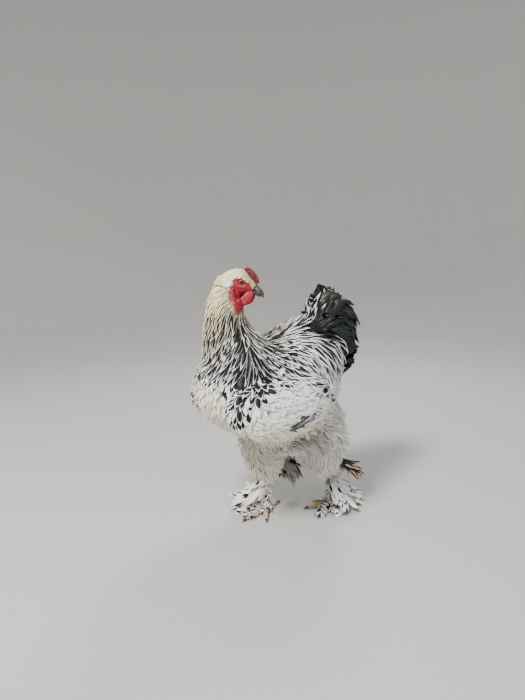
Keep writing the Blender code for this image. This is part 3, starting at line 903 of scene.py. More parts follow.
def paint_head(points):
    forward, left, up = in_head(points)
    ear = smooth_step(1.25, 0.75, np.hypot((forward + 0.019) / 0.012, (up + 0.004) / 0.0075))
    ear *= smooth_step(0.010, 0.016, np.abs(left))
    ground = mixed(CREAM, WHITE * 1.05, ear)
    return ground, stripes(len(points))


def paint_hackle(points):
    """Cream with thin dark streaks above, black with narrow white edges below."""
    _, y, z = points.T
    count = len(points)
    height = z + CHANCE.normal(0, 0.008, count)
    dark = np.interp(height, (0.41, 0.44, 0.465, 0.495, 0.53, 0.57), (1.0, 0.98, 0.88, 0.62, 0.32, 0.10))
    nape = smooth_step(-0.17, -0.21, y) * smooth_step(0.385, 0.42, z)
    dark = np.clip(dark - 0.18 * nape + 0.05 * ripple(points, 0.05), 0, 1)
    ground = mixed(CREAM, WHITE, smooth_step(0.52, 0.42, z) * (1 - 0.6 * nape))
    width = np.interp(dark, (0, 0.1, 0.25, 0.5, 0.8, 1), (0.0, 0.08, 0.19, 0.32, 0.42, 0.455))
    return ground, stripes(count, width, np.interp(dark, (0, 1), (0.22, 0.0)), 0.97, 0.4)


def paint_shoulder(points):
    """Short pointed feathers at the front of the wing, most of them black inside a white edge."""
    count = len(points)
    dark = CHANCE.random(count) < 0.86
    ground = mixed(WHITE, BLUISH, CHANCE.uniform(0.0, 0.25, count))
    return ground, stripes(count, np.where(dark, 0.43, 0.0), CHANCE.uniform(0.0, 0.12, count), 0.95)


def paint_breast(points):
    """Creamy white, with a few thin grey streaks."""
    count = len(points)
    high = smooth_step(0.25, 0.36, points[:, 2])
    ground = mixed(IVORY * 0.97, mixed(CREAM, WHITE, 0.45), high)
    odd = CHANCE.random(count) < 0.02
    return ground, stripes(count, np.where(odd, 0.14, 0.0), 0.6, 0.9)


def paint_back(points):
    """White with a thin dark middle, black with a narrow white edge next to the cape and the tail."""
    x, y, z = points.T
    count = len(points)
    near_cape = smooth_step(0.015, -0.045, y) * smooth_step(0.385, 0.42, z)
    near_tail = smooth_step(0.080, 0.100, y) * smooth_step(0.38, 0.42, z)
    near_tail = np.maximum(near_tail, smooth_step(0.03, 0.05, y) * smooth_step(0.465, 0.485, z))
    ground = mixed(WHITE, BLUISH, CHANCE.uniform(0.0, 0.30, count))
    width = 0.27 + 0.17 * near_cape + 0.17 * near_tail + CHANCE.normal(0, 0.035, count)
    width *= np.interp(z, (0.29, 0.37), (0.25, 1.0))
    start = np.where(CHANCE.random(count) < 0.8, 0.05, CHANCE.uniform(0.1, 0.4, count))
    side = smooth_step(0.020, 0.032, np.abs(x)) * smooth_step(0.045, 0.065, y)
    plain = CHANCE.random(count) < 0.85 * side * smooth_step(0.435, 0.460, z)
    ground = mixed(ground, BLACK, plain.astype(float))
    return ground, stripes(count, np.clip(width, 0.06, 0.43), start, 0.97, 0.3)


# The black line of the flight feathers below the wing, from front to rear: along, height
FLIGHT_LINE = ((-0.060, 0.264), (0.005, 0.298))


def paint_wing(points):
    """White with faint blue grey clouds, cream low down, black along its lower rear edge and at its end."""
    _, y, z = points.T
    count = len(points)
    ground = mixed(WHITE, IVORY, smooth_step(0.32, 0.27, z))
    clouds = np.clip(ripple(points, 0.028) * 0.6 + ripple(points, 0.011, 2.0) * 0.6, 0, 1)
    ground = mixed(ground, BLUISH, 0.42 * clouds * smooth_step(0.27, 0.31, z))
    flight = line_gap(points[:, 1:], *FLIGHT_LINE)[0] < 0.0100
    end = (y > 0.002) & (z > 0.328) & (CHANCE.random(count) < 0.80)
    marks = stripes(count, np.where(flight, 0.50, np.where(end, 0.46, 0.0)), 0.0, 0.96)
    return ground, marks


def paint_tail(points):
    """Black, brownish at the top, with white edges only along its front."""
    x, y, z = points.T
    count = len(points)
    front = smooth_step(0.095, 0.080, y) * smooth_step(0.022, 0.010, np.abs(x))
    low = smooth_step(0.095, 0.080, y) * smooth_step(0.485, 0.470, z)
    laced = CHANCE.random(count) < np.maximum(front * 0.35, low * 0.12)
    brown = smooth_step(0.52, 0.56, z) * smooth_step(0.11, 0.15, y)
    ground = mixed(mixed(BLACK, UMBER, brown), WHITE * 0.9, laced.astype(float))
    return ground, stripes(count, np.where(laced, 0.38, 0.0), 0.02, 0.97, 1.0)


def paint_fluff(points):
    """Greyish white down, creamy on the front of the right thigh, darkened with painted shade under the
    wings.
    """
    x, y, z = points.T
    count = len(points)
    front = smooth_step(0.03, -0.03, y) * smooth_step(0.030, 0.0, x)
    clouds = 0.30 + 0.30 * ripple(points, 0.030, 1.0) + CHANCE.normal(0, 0.16, count)
    ground = mixed(mixed(WHITE, IVORY, 0.5), SMOKE, np.clip(clouds - 0.6 * front, 0, 1))
    # Painted shade: the down just under the wings is mixed towards SHADE.
    under = smooth_step(0.165, 0.205, z) * smooth_step(0.075, 0.010, y)
    ground = mixed(ground, SHADE, np.clip(0.80 * under + CHANCE.normal(0, 0.08, count), 0, 0.9))
    return mixed(ground, CREAM * 1.04, 0.30 * front), stripes(count)


def paint_shank(points):
    """White, half of them with a dark middle."""
    count = len(points)
    odd = CHANCE.random(count) < 0.5
    return np.tile(WHITE, (count, 1)), stripes(count, np.where(odd, 0.36, 0.0), 0.2, 0.85)


def paint_boot(points):
    """White, some buff, many with a black patch before their pale end."""
    count = len(points)
    chance = CHANCE.random(count)
    ground = mixed(WHITE, BUFF, np.where(chance > 0.80, CHANCE.uniform(0.3, 0.8, count), 0.0))
    width = np.where(chance < 0.42, 0.50, np.where(chance < 0.54, 0.25, 0.0))
    return ground, stripes(count, width, CHANCE.uniform(0.1, 0.5, count), CHANCE.uniform(0.70, 0.97, count))


def paint_flight(points):
    """Black with a thin pale edge, and some plain white ones between."""
    count = len(points)
    white = CHANCE.random(count) < 0.20
    return np.tile(WHITE, (count, 1)), stripes(count, np.where(white, 0.0, 0.43), 0.0, 0.96, 0.8)


def paint_primaries(points):
    """Black with a thin pale edge."""
    return np.tile(WHITE, (len(points), 1)), stripes(len(points), 0.47, 0.0, 0.97, 0.8)


def paint_tuft_right(points):
    """Greyish brown hock feathers, dark partly as painted shade between the legs, some of them black towards
    the end.
    """
    count = len(points)
    # Dark greyish brown: partly painted shade between the legs.
    ground = mixed(SMOKE * 0.8, UMBER * 4, CHANCE.uniform(0, 0.8, count))
    dark = CHANCE.random(count) < 0.4
    return ground, stripes(count, np.where(dark, 0.46, 0.0), CHANCE.uniform(0.2, 0.5, count), 0.92)


def paint_tuft_left(points):
    """Black hock feathers with buff ends."""
    count = len(points)
    pale = CHANCE.random(count) < 0.2
    width = np.where(pale, 0.2, 0.5)
    return np.tile(BUFF, (count, 1)), stripes(count, width, 0.0, CHANCE.uniform(0.82, 1.3, count))


# The parts of the coat

TRIANGLE_MIDDLES = SKIN_POINTS[SKIN_CORNERS].mean(1)
TRIANGLE_KINDS = kind_at(TRIANGLE_MIDDLES)
TRIANGLE_NORMALS = unit(SKIN_NORMALS[SKIN_CORNERS].sum(1))
BARE = bare_share(TRIANGLE_MIDDLES)

# Where the cape's roots end on the shoulders, and where the black of the wing's front ends: along, height
CAPE_LINE = (
    (-0.225, 0.402), (-0.190, 0.388), (-0.160, 0.380), (-0.130, 0.388), (-0.090, 0.400),
    (-0.060, 0.412), (-0.045, 0.436), (-0.035, 0.470), (-0.025, 0.600),
)
SHOULDER_LINE = (
    (-0.200, 0.285), (-0.185, 0.290), (-0.172, 0.318), (-0.158, 0.342), (-0.130, 0.358),
    (-0.100, 0.372), (-0.080, 0.384), (-0.070, 0.600),
)


def triangles_where(test):
    """The skin's triangles whose middle passes a test of kind and place."""
    return np.nonzero(test(TRIANGLE_KINDS, TRIANGLE_MIDDLES))[0]


def on_cape(kinds, middles):
    _, y, z = middles.T
    above = z > np.interp(y, *zip(*CAPE_LINE))
    return (kinds == "trunk") & above & (y < -0.025)


def on_back(kinds, middles):
    _, y, z = middles.T
    high = z > np.interp(y, (-0.086, -0.085, 0.03, 0.09), (9.0, 0.378, 0.345, 0.300))
    rump = y > 0.09
    return ((kinds == "trunk") & (high | rump) & ~on_cape(kinds, middles)) | (kinds == "saddle")


def on_shoulder(kinds, middles):
    x, y, z = middles.T
    above = z > np.interp(y, *zip(*SHOULDER_LINE))
    front = (kinds == "trunk") & (np.abs(x) > 0.070) & (z > 0.290) & (y < -0.06)
    return ((kinds == "wing") & above) | (front & ~on_cape(kinds, middles) & ~on_back(kinds, middles))


def on_breast(kinds, middles):
    other = on_cape(kinds, middles) | on_back(kinds, middles) | on_shoulder(kinds, middles)
    return (kinds == "trunk") & ~other


def varied(value, share, count):
    return value * (1 + CHANCE.normal(0, share, count))


def grow(coat, skin, gap, length, width, painter, steps=6, tone=0.05, flow=None, **shape):
    """Roots over some skin, a vane from each along the coat's lie, and the markings where its end comes."""
    roots, unfolded = scatter(skin, gap if callable(gap) else lambda places: np.full(len(places), gap))
    count = len(roots)
    lengths = varied(length(roots) if callable(length) else length, 0.12, count)
    widths = varied(width(roots) if callable(width) else width, 0.10, count)
    lines, normals = lay_lines(roots, lengths, steps, **(flow or {}))
    ground, marks = painter(lines[:, -2])
    coat.add(lines, normals, widths, unfolded, toned(ground, tone), marks, **shape)


def grow_crown(coat):
    """Tiny flat feathers on the crown, brow and cheeks, larger at the ear and the nape."""
    skin = triangles_where(lambda kinds, middles: (kinds == "head") & (BARE < 0.45))

    def length(roots):
        return 0.0055 + 0.0085 * smooth_step(0.020, -0.030, in_head(roots)[0])

    grow(coat, skin, 0.0021, length, lambda roots: length(roots) * 0.38, paint_head, steps=4, tone=0.05,
         flow={"hug": 0.5, "sway": 0.12}, columns=1, thick=0.00018)


def down_neck(roots):
    """0 under the crown to 1 at the foot of the neck."""
    return np.clip((0.600 - roots[:, 2]) / 0.20, 0, 1)


def grow_hackle(coat):
    """Long narrow feathers that hang down the neck."""
    skin = triangles_where(lambda kinds, middles: (kinds == "neck") & (BARE < 0.45))
    grow(coat, skin, lambda places: 0.0040 + 0.0046 * down_neck(places),
         lambda roots: 0.036 + 0.050 * down_neck(roots), lambda roots: 0.0054 + 0.0056 * down_neck(roots),
         paint_hackle, steps=7, tone=0.07,
         flow={"lift": 0.95, "hug": 0.4, "sway": 0.09, "curl": 0.02, "wave": 0.14, "wave_length": 0.06,
               "loose": 0.2},
         outline="pointed", camber=0.30)


def grow_cape(coat):
    """The foot of the hackle, over the shoulders and the front of the back."""
    grow(coat, triangles_where(on_cape), 0.0078, 0.060, 0.0155, paint_hackle, tone=0.08,
         flow={"lift": 0.95, "hug": 0.5, "sway": 0.10, "curl": 0.02, "loose": 0.12},
         outline="pointed", camber=0.25)


def grow_shoulder(coat):
    grow(coat, triangles_where(on_shoulder), 0.0078, 0.036, 0.0140, paint_shoulder, steps=5, tone=0.06,
         flow={"hug": 0.4, "sway": 0.18, "rise": 0.002, "loose": 0.2}, outline="pointed", camber=0.20)


def grow_breast(coat):
    grow(coat, triangles_where(on_breast), 0.0066, 0.034, 0.0125, paint_breast, tone=0.04,
         flow={"hug": 0.45, "sway": 0.20, "wave": 0.35, "wave_length": 0.05, "loose": 0.15},
         outline="blade", camber=0.16, ragged=0.14)


def grow_back(coat):
    """Pointed striped feathers of the back and the saddle, longest where they fall over the rump."""
    def length(roots):
        return 0.066 + 0.026 * smooth_step(-0.04, 0.05, roots[:, 1])

    grow(coat, triangles_where(on_back), 0.0090, length, 0.0128, paint_back, steps=8, tone=0.06,
         flow={"lift": 1.1, "hug": 0.3, "sway": 0.07, "curl": 0.02, "wave": 0.10, "wave_length": 0.08,
               "loose": 0.2},
         outline="pointed", camber=0.32)


def grow_wing(coat, sign):
    """Round coverts over the wing, and longer flight feathers on its lower rear half."""
    def on_wing(kinds, middles):
        return (kinds == "wing") & (sign * middles[:, 0] > 0) & ~on_shoulder(kinds, middles)

    def length(roots):
        low = smooth_step(0.330, 0.290, roots[:, 2]) * smooth_step(-0.13, -0.08, roots[:, 1])
        return (0.030 + 0.030 * low) * (1 - 0.35 * smooth_step(-0.01, 0.03, roots[:, 1]))

    grow(coat, triangles_where(on_wing), 0.0063, length, 0.0145, paint_wing, tone=0.03,
         flow={"hug": 0.5, "sway": 0.14, "wave": 0.15, "wave_length": 0.05, "loose": 0.08},
         outline="blade", camber=0.08, ragged=0.14)


def grow_tail(coat):
    """Broad black feathers that rise, arch over and droop ragged at the rear."""
    def on_tail(kinds, middles):
        return np.isin(kinds, ("tail_main", "tail_covert")) & (TRIANGLE_NORMALS[:, 2] > -0.45)

    def length(roots):
        return 0.070 + 0.025 * smooth_step(0.10, 0.16, roots[:, 1])

    grow(coat, triangles_where(on_tail), 0.0105, length, 0.0245, paint_tail, steps=8, tone=0.20,
         flow={"hug": 0.16, "sway": 0.20, "curl": 0.05, "loose": 0.3, "rise": 0.002},
         camber=0.40, ragged=0.10)


# The wisps of each tuft of fluff: how many, their length and their width
FLUFF_WISPS = 5
FLUFF_LENGTH = 0.036
FLUFF_WIDTH = 0.0048


def grow_fluff(coat, test, gap):
    """Loose tufts of narrow wisps that bend together in waves."""
    roots, unfolded = scatter(triangles_where(test), lambda places: np.full(len(places), gap))
    count = len(roots)
    for spread in np.linspace(-0.45, 0.45, FLUFF_WISPS):
        lengths = varied(FLUFF_LENGTH, 0.22, count)
        turn = spread + CHANCE.normal(0, 0.16, count)
        start = roots + CHANCE.normal(0, gap * 0.22, (count, 3))
        lines, normals = lay_lines(start, lengths, 5, lift=1.1, hug=0.24, curl=0.10, turn=turn, wave=0.75,
                                   wave_length=0.050, loose=0.35, rise=0.003)
        ground, marks = paint_fluff(lines[:, -2])
        coat.add(lines, normals, varied(FLUFF_WIDTH, 0.2, count), unfolded, toned(ground, 0.07), marks,
                 outline="blade", columns=1, ragged=0.15, camber=0.40, thick=0.0003)


def grow_shank(coat, sign):
    skin = triangles_where(lambda kinds, middles: (kinds == "shank") & (sign * (middles[:, 0] - 0.005) > 0))
    grow(coat, skin, 0.0046, 0.019, 0.0082, paint_shank, steps=5,
         flow={"lift": 1.5, "hug": 0.15, "sway": 0.25, "rise": 0.005, "loose": 0.4})


def grow_toes(coat, side):
    """Feathers that start on the middle and outer toes and spread over them to the outside of the foot."""
    pad = np.array((*PADS[side], 0.0))

    def on_toes(kinds, middles):
        gap = np.linalg.norm(middles - pad, axis=1)
        near = (gap < 0.060) & (TRIANGLE_NORMALS[:, 2] > -0.2) & (middles[:, 2] > 0.006)
        return np.isin(kinds, ("toe_middle", "toe_outer", "foot")) & near

    def toe_lie(points, normals):
        away = unit((points - pad) * (1, 1, 0)) + 0.7 * BOOT_WAYS[side]
        away -= normals * (away * normals).sum(1, keepdims=True)
        return unit(away)

    grow(coat, triangles_where(on_toes), 0.0046, 0.030, 0.0125, paint_boot, steps=5,
         flow={"lie": toe_lie, "hug": 0.25, "sway": 0.50, "rise": 0.010, "loose": 0.5, "curl": 0.10},
         outline="quill", camber=0.35, ragged=0.10)


# Bundles of feathers that fill a solid of their own, along its spine: x, y, z, half width, rise and drop
BUNDLES = {
    "wing_tip": (
        (0.112, -0.075, 0.316, 0.006, 0.030, 0.028), (0.118, 0.015, 0.320, 0.006, 0.032, 0.030),
        (0.118, 0.047, 0.322, 0.007, 0.032, 0.030), (0.113, 0.067, 0.322, 0.006, 0.027, 0.024),
        (0.108, 0.081, 0.322, 0.003, 0.014, 0.012),
    ),
    "wing_end": (
        (0.135, -0.016, 0.362, 0.003, 0.008, 0.008), (0.141, 0.004, 0.354, 0.004, 0.013, 0.013),
        (0.143, 0.024, 0.345, 0.004, 0.015, 0.015), (0.139, 0.042, 0.338, 0.003, 0.009, 0.009),
    ),
    "primaries": (
        (0.149, -0.084, 0.270, 0.003, 0.004, 0.004), (0.153, -0.062, 0.277, 0.003, 0.005, 0.005),
        (0.154, -0.040, 0.285, 0.003, 0.006, 0.006), (0.150, -0.014, 0.297, 0.003, 0.006, 0.006),
        (0.143, 0.010, 0.305, 0.003, 0.004, 0.004),
    ),
    "tuft_right": (
        (-0.040, 0.0053, 0.140, 0.014, 0.016, 0.016), (-0.042, 0.0293, 0.112, 0.024, 0.034, 0.032),
        (-0.042, 0.0553, 0.082, 0.022, 0.036, 0.032), (-0.041, 0.0793, 0.046, 0.010, 0.014, 0.014),
    ),
    "tuft_left": (
        (0.046, 0.1433, 0.128, 0.014, 0.014, 0.014), (0.051, 0.1673, 0.107, 0.022, 0.018, 0.018),
        (0.056, 0.1973, 0.086, 0.022, 0.016, 0.016), (0.059, 0.2153, 0.072, 0.010, 0.008, 0.008),
    ),
    "boot_right": (
        (-0.027, -0.022, 0.092, 0.008, 0.008, 0.008), (-0.030, -0.022, 0.076, 0.016, 0.012, 0.012),
        (-0.036, -0.038, 0.056, 0.030, 0.018, 0.018), (-0.056, -0.060, 0.032, 0.046, 0.018, 0.024),
        (-0.076, -0.078, 0.018, 0.046, 0.011, 0.013), (-0.090, -0.089, 0.010, 0.028, 0.006, 0.006),
    ),
    "boot_left": (
        (0.041, 0.136, 0.092, 0.008, 0.008, 0.008), (0.042, 0.138, 0.076, 0.016, 0.012, 0.012),
        (0.054, 0.140, 0.056, 0.034, 0.018, 0.018), (0.072, 0.152, 0.032, 0.057, 0.018, 0.024),
        (0.090, 0.162, 0.017, 0.067, 0.012, 0.013), (0.103, 0.168, 0.010, 0.044, 0.006, 0.006),
    ),
}
BOOT_SIDES = {"right": (0.66, -0.75, 0.0), "left": (-0.50, 0.86, 0.0)}
BOOT_WAYS = {"right": np.array((-0.75, -0.66, 0.0)), "left": np.array((0.86, 0.50, 0.0))}


def smooth_rows(rows, amount=60):
    """The rows of a bundle, read along a smooth curve through them."""
    rows = np.array(rows)
    where = np.linspace(0, len(rows) - 1, amount)
    index = np.minimum(where.astype(int), len(rows) - 2)
    share = (where - index)[:, None]
    before, start = rows[np.maximum(index - 1, 0)], rows[index]
    end, after = rows[index + 1], rows[np.minimum(index + 2, len(rows) - 1)]
    curve = 2 * before - 5 * start + 4 * end - after + share * (3 * (start - end) + after - before)
    return start + 0.5 * share * ((end - before) + share * curve)


# Rows along each feather of a bundle, and how near its spine they start, as a share of its width
BUNDLE_STEPS = 6
BUNDLE_CORE = 0.35


def bundle_lines(rows, count, reach, side_hint, latest, splay):
    """Centrelines that run along a spine, from its middle out to its surface."""
    table = smooth_rows(rows)
    middles = table[:, :3]
    along = unit(np.gradient(middles, axis=0))
    side = unit(np.array(side_hint) - along * (along @ np.array(side_hint))[:, None])
    up = np.cross(side, along)
    up *= np.where(up[:, 2:] + 0.3 * np.abs(up[:, 1:2]) < 0, -1, 1)
    order = (np.arange(count) + CHANCE.random(count)) / count
    angle = 2 * math.pi * ((order * 7.3) % 1.0)
    starts = latest * (np.arange(count) % 9) / 9 * CHANCE.uniform(0.7, 1.0, count)
    ends = np.minimum(starts + reach * (1 + CHANCE.normal(0, 0.08, count)), 1.0)
    radius = np.sqrt(CHANCE.uniform(0.35, 1.0, count))
    stray = CHANCE.normal(0, splay, (count, 3))
    lines, normals = [], []
    for index in range(BUNDLE_STEPS + 1):
        share = index / BUNDLE_STEPS
        at = np.clip(starts + (ends - starts) * share, 0, 1) * (len(table) - 1)
        low = np.minimum(at.astype(int), len(table) - 2)
        part = (at - low)[:, None]
        row = table[low] * (1 - part) + table[low + 1] * part
        sideways = unit(side[low] * (1 - part) + side[low + 1] * part)
        upward = unit(up[low] * (1 - part) + up[low + 1] * part)
        spread = radius * (BUNDLE_CORE + (1 - BUNDLE_CORE) * share ** 0.8)
        height = np.where(np.sin(angle) > 0, row[:, 4], row[:, 5])
        lines.append(
            row[:, :3] + sideways * (row[:, 3] * spread * np.cos(angle))[:, None]
            + upward * (height * spread * np.sin(angle))[:, None] + stray * share ** 2
        )
        out = sideways * (np.cos(angle) * height)[:, None] + upward * (np.sin(angle) * row[:, 3])[:, None]
        normals.append(unit(out))
    return np.stack(lines, 1), np.stack(normals, 1)


def unfolded_at(points):
    """The unfolded place of the skin nearest to each point."""
    hits = [SKIN_TREE.find_nearest(point) for point in points.tolist()]
    return SKIN_UNFOLDED[[hit[2] for hit in hits]].mean(1)


def mirrored(rows, sign):
    """The rows of a bundle for the left side as they are, or for the right side, with the sign -1."""
    return [(sign * row[0], *row[1:]) for row in rows]


def add_bundle(coat, rows, count, widths, painter, reach, outline="quill", side_hint=(1, 0, 0),
               camber=0.2, ragged=0.06, latest=0.7, splay=0.0):
    """Feathers that fill a bundle's solid, with the markings where their ends come."""
    lines, normals = bundle_lines(rows, count, reach, side_hint, latest, splay)
    ground, marks = painter(lines[:, -1])
    width = np.full(count, widths) * (1 + CHANCE.normal(0, 0.12, count))
    coat.add(lines, normals, width, unfolded_at(lines[:, 0]), toned(ground), marks,
             outline=outline, camber=camber, ragged=ragged)


# Shader groups and materials

def new_group(name, inputs, outputs):
    group = bpy.data.node_groups.new(name, "ShaderNodeTree")
    for title, kind, value in inputs:
        socket = group.interface.new_socket(title, in_out="INPUT", socket_type=kind)
        if value is not None:
            socket.default_value = value
    for title, kind in outputs:
        group.interface.new_socket(title, in_out="OUTPUT", socket_type=kind)
    return group, Wiring(group)


class Wiring:
    """Adds and joins shader nodes. A number or colour is set on a socket, a socket is linked to it."""

    def __init__(self, tree):
        self.tree = tree

    def node(self, kind, settings=None, **inputs):
        node = self.tree.nodes.new("ShaderNode" + kind if not kind.startswith("NodeGroup") else kind)
        for name, value in (settings or {}).items():
            setattr(node, name, value)
        for name, value in inputs.items():
            self.set(node, name.replace("_", " "), value)
        return node

    def set(self, node, name, value):
        socket = node.inputs[int(name)] if name.isdigit() else node.inputs[name]
        if isinstance(value, bpy.types.NodeSocket):
            self.tree.links.new(value, socket)
        else:
            socket.default_value = value

    def math(self, operation, first, second=0.0):
        node = self.node("Math", {"operation": operation})
        for index, value in enumerate((first, second)):
            self.set(node, str(index), value)
        return node.outputs[0]

    def plus(self, first, second):
        return self.math("ADD", first, second)

    def minus(self, first, second):
        return self.math("SUBTRACT", first, second)

    def times(self, first, second):
        return self.math("MULTIPLY", first, second)

    def between(self, value, low, high, start=0.0, end=1.0):
        node = self.node("MapRange", {"interpolation_type": "SMOOTHSTEP"})
        for index, item in enumerate((value, low, high, start, end)):
            self.set(node, str(index), item)
        return node.outputs[0]

    def mix(self, share, first, second, blend="MIX"):
        node = self.node("Mix", {"data_type": "RGBA", "blend_type": blend})
        self.set(node, "0", share)
        self.set(node, "6", first)
        self.set(node, "7", second)
        return node.outputs[2]

    def noise(self, vector, scale, detail=2.0, roughness=0.5):
        node = self.node("TexNoise", None, Vector=vector, Scale=scale, Detail=detail, Roughness=roughness)
        return node.outputs["Fac"]

    def finish(self, shader, colour, roughness, height, strength, distance=0.0004):
        """Joins a colour, a roughness and a relief to the material's shader."""
        self.set(shader, "Base Color", colour)
        self.set(shader, "Roughness", roughness)
        relief = self.node("Bump", None, Height=height, Strength=strength, Distance=distance)
        self.set(shader, "Normal", relief.outputs[0])


def plume_group():
    """Ground colour with grain along the barbs, the dark stripe, and a height for the bump."""
    group, w = new_group("plume", (
        ("Dark", "NodeSocketColor", (*BLACK, 1)),
        ("Barbs", "NodeSocketFloat", 26.0),
        ("Grain", "NodeSocketFloat", 0.25),
    ), (("Colour", "NodeSocketColor"), ("Stripe", "NodeSocketFloat"), ("Height", "NodeSocketFloat")))
    given = w.node("NodeGroupInput").outputs
    vane = w.node("UVMap", {"uv_map": "Vane"}).outputs[0]
    parts = w.node("SeparateXYZ", None, Vector=vane).outputs
    ground = w.node("Attribute", {"attribute_name": "Ground"}).outputs
    marks = w.node("Attribute", {"attribute_name": "Marks"}).outputs
    split = w.node("SeparateColor", None, Color=marks["Color"]).outputs
    off = w.math("ABSOLUTE", w.minus(parts[0], 0.5))
    barb = w.minus(w.times(parts[1], given["Barbs"]), w.times(off, 11.0))
    seed = w.times(ground["Alpha"], 57.0)
    streak = w.node("CombineXYZ", None, X=barb, Y=w.times(off, 2.0), Z=seed).outputs[0]
    grain = w.noise(streak, 1.6, 3.0, 0.6)
    blotch = w.noise(w.node("CombineXYZ", None, X=parts[0], Y=parts[1], Z=seed).outputs[0], 2.2, 1.0)
    taper = w.times(w.between(parts[1], split[1], w.plus(split[1], 0.16)),
                   w.between(parts[1], split[2], w.minus(split[2], 0.30)))
    edge = w.times(w.minus(grain, 0.5), 0.14)
    half = w.plus(w.times(split[0], taper), w.times(edge, taper))
    stripe = w.between(w.minus(half, off), -0.015, 0.035)
    stripe = w.times(stripe, w.between(split[0], 0.01, 0.03))
    bright = w.plus(1.0, w.times(w.minus(grain, 0.5), given["Grain"]))
    bright = w.times(bright, w.between(blotch, 0.2, 0.8, 0.92, 1.06))
    # Each vane darkens towards its root: partly the grey down at a feather's base, partly painted shade where
    # the vanes overlap.
    bright = w.times(bright, w.between(parts[1], 0.0, 0.50, 0.60, 1.0))
    tint = w.node("CombineXYZ", None, X=bright, Y=bright, Z=bright).outputs[0]
    plain = w.mix(1.0, ground["Color"], tint, "MULTIPLY")
    # The shaft down each vane's middle is paler: partly its own colour, partly a painted highlight.
    shaft = w.times(w.between(off, 0.030, 0.012), 0.35)
    plain = w.mix(shaft, plain, w.mix(1.0, plain, SHAFT_PALE_AND_HIGHLIGHT, "MULTIPLY"))
    dark = w.mix(w.between(grain, 0.35, 0.75, 0.0, 0.6), given["Dark"], STRIPE_WORN)
    out = w.node("NodeGroupOutput")
    w.set(out, "Colour", w.mix(stripe, plain, dark))
    w.set(out, "Stripe", stripe)
    w.set(out, "Height", w.plus(grain, w.between(off, 0.04, 0.0, 0.0, 0.8)))
    return group


def new_material(name, **numbers):
    material = bpy.data.materials.new(name)
    material.use_nodes = True
    shader = material.node_tree.nodes["Principled BSDF"]
    for title, value in numbers.items():
        shader.inputs[title.replace("_", " ")].default_value = value
    return material, shader, Wiring(material.node_tree)


def plume_material(name, grain, bump=0.25, roughness=0.65, sheen=0.04):
    """Feathers whose dark stripe is glossier than their ground."""
    material, shader, w = new_material(name, Specular_IOR_Level=0.16, Sheen_Weight=sheen, Sheen_Roughness=0.5)
    marks = w.node("Group", {"node_tree": bpy.data.node_groups["plume"]}, Grain=grain).outputs
    rough = w.between(marks["Stripe"], 0.0, 1.0, roughness, 0.45)
    w.finish(shader, marks["Colour"], rough, marks["Height"], bump)
    return material


def tail_material():
    """Black vanes with a painted beetle-green sheen in patches that come and go over each feather, glossier
    in the same patches.
    """
    material, shader, w = new_material("black tail plume", Specular_IOR_Level=0.35)
    marks = w.node("Group", {"node_tree": bpy.data.node_groups["plume"]}, Grain=0.5, Barbs=30.0)
    marks.inputs["Dark"].default_value = TAIL_BLACK
    place = w.node("TexCoord").outputs["Object"]
    patch = w.between(w.noise(place, 22.0, 2.0), 0.42, 0.66)
    # Painted sheen: green patches multiplied into the black.
    painted_sheen = w.mix(w.times(patch, 0.75), (1, 1, 1, 1), TAIL_PAINTED_SHEEN)
    colour = w.mix(1.0, marks.outputs["Colour"], painted_sheen, "MULTIPLY")
    w.finish(shader, colour, w.between(patch, 0.0, 1.0, 0.46, 0.30), marks.outputs["Height"], 0.3)
    return material


def skin_material():
    """Pale skin under the coat, red and pebbled on the face, yellow and scaled on the feet."""
    material, shader, w = new_material("skin", Specular_IOR_Level=0.40)
    shader.inputs["Subsurface Weight"].default_value = 0.06
    shader.inputs["Subsurface Radius"].default_value = (0.004, 0.0015, 0.001)
    place = w.node("TexCoord").outputs["Object"]
    ground = w.node("Attribute", {"attribute_name": "Ground"}).outputs
    masks = w.node("Attribute", {"attribute_name": "Skin"}).outputs["Color"]
    masks = w.node("SeparateColor", None, Color=masks).outputs
    fine = w.noise(place, 900.0, 3.0, 0.6)
    broad = w.noise(place, 140.0, 3.0, 0.6)
    pebbles = w.node("TexVoronoi", None, Vector=place, Scale=780.0).outputs["Distance"]
    red = w.mix(w.between(broad, 0.35, 0.65), RED_DEEP, RED_BRIGHT)
    # Painted shade in maroon where the folds' mask is low: in creases, round the eyes and between the comb's
    # beads. Pale pink where it is high: partly the ridges' own colour, and painted highlight on the ridges
    # and the beads' tops.
    red = w.mix(w.between(masks[2], 0.5, 0.0), red, RED_MAROON_AND_SHADE)
    pale = w.mix(w.between(broad, 0.40, 0.60), PINK_DEEP, PINK_PALE)
    red = w.mix(w.between(masks[2], 0.55, 1.05, 0.0, 0.8), red, pale)
    red = w.mix(w.between(pebbles, 0.45, 0.10, 0.0, 0.22), red, PEBBLE_PINK)
    scales = w.node("TexVoronoi", {"feature": "DISTANCE_TO_EDGE"}, Vector=place, Scale=330.0)
    scales = scales.outputs["Distance"]
    horny = w.mix(w.between(broad, 0.35, 0.65), TOE_YELLOW, TOE_PALE)
    horny = w.mix(w.between(scales, 0.10, 0.0, 0.0, 0.55), horny, TOE_GROOVE)
    under = w.mix(w.between(fine, 0.3, 0.7, 0.0, 0.3), ground["Color"], PORE_GREY)
    colour = w.mix(masks[0], under, red)
    height = w.plus(w.times(pebbles, -0.9), w.times(fine, 0.5))
    plates = w.times(w.between(scales, 0.0, 0.12), masks[1])
    height = w.plus(height, w.times(plates, 1.2))
    rough = w.between(fine, 0.2, 0.8, 0.42, 0.60)
    w.finish(shader, w.mix(masks[1], colour, horny), rough, height, 0.55, 0.0006)
    return material


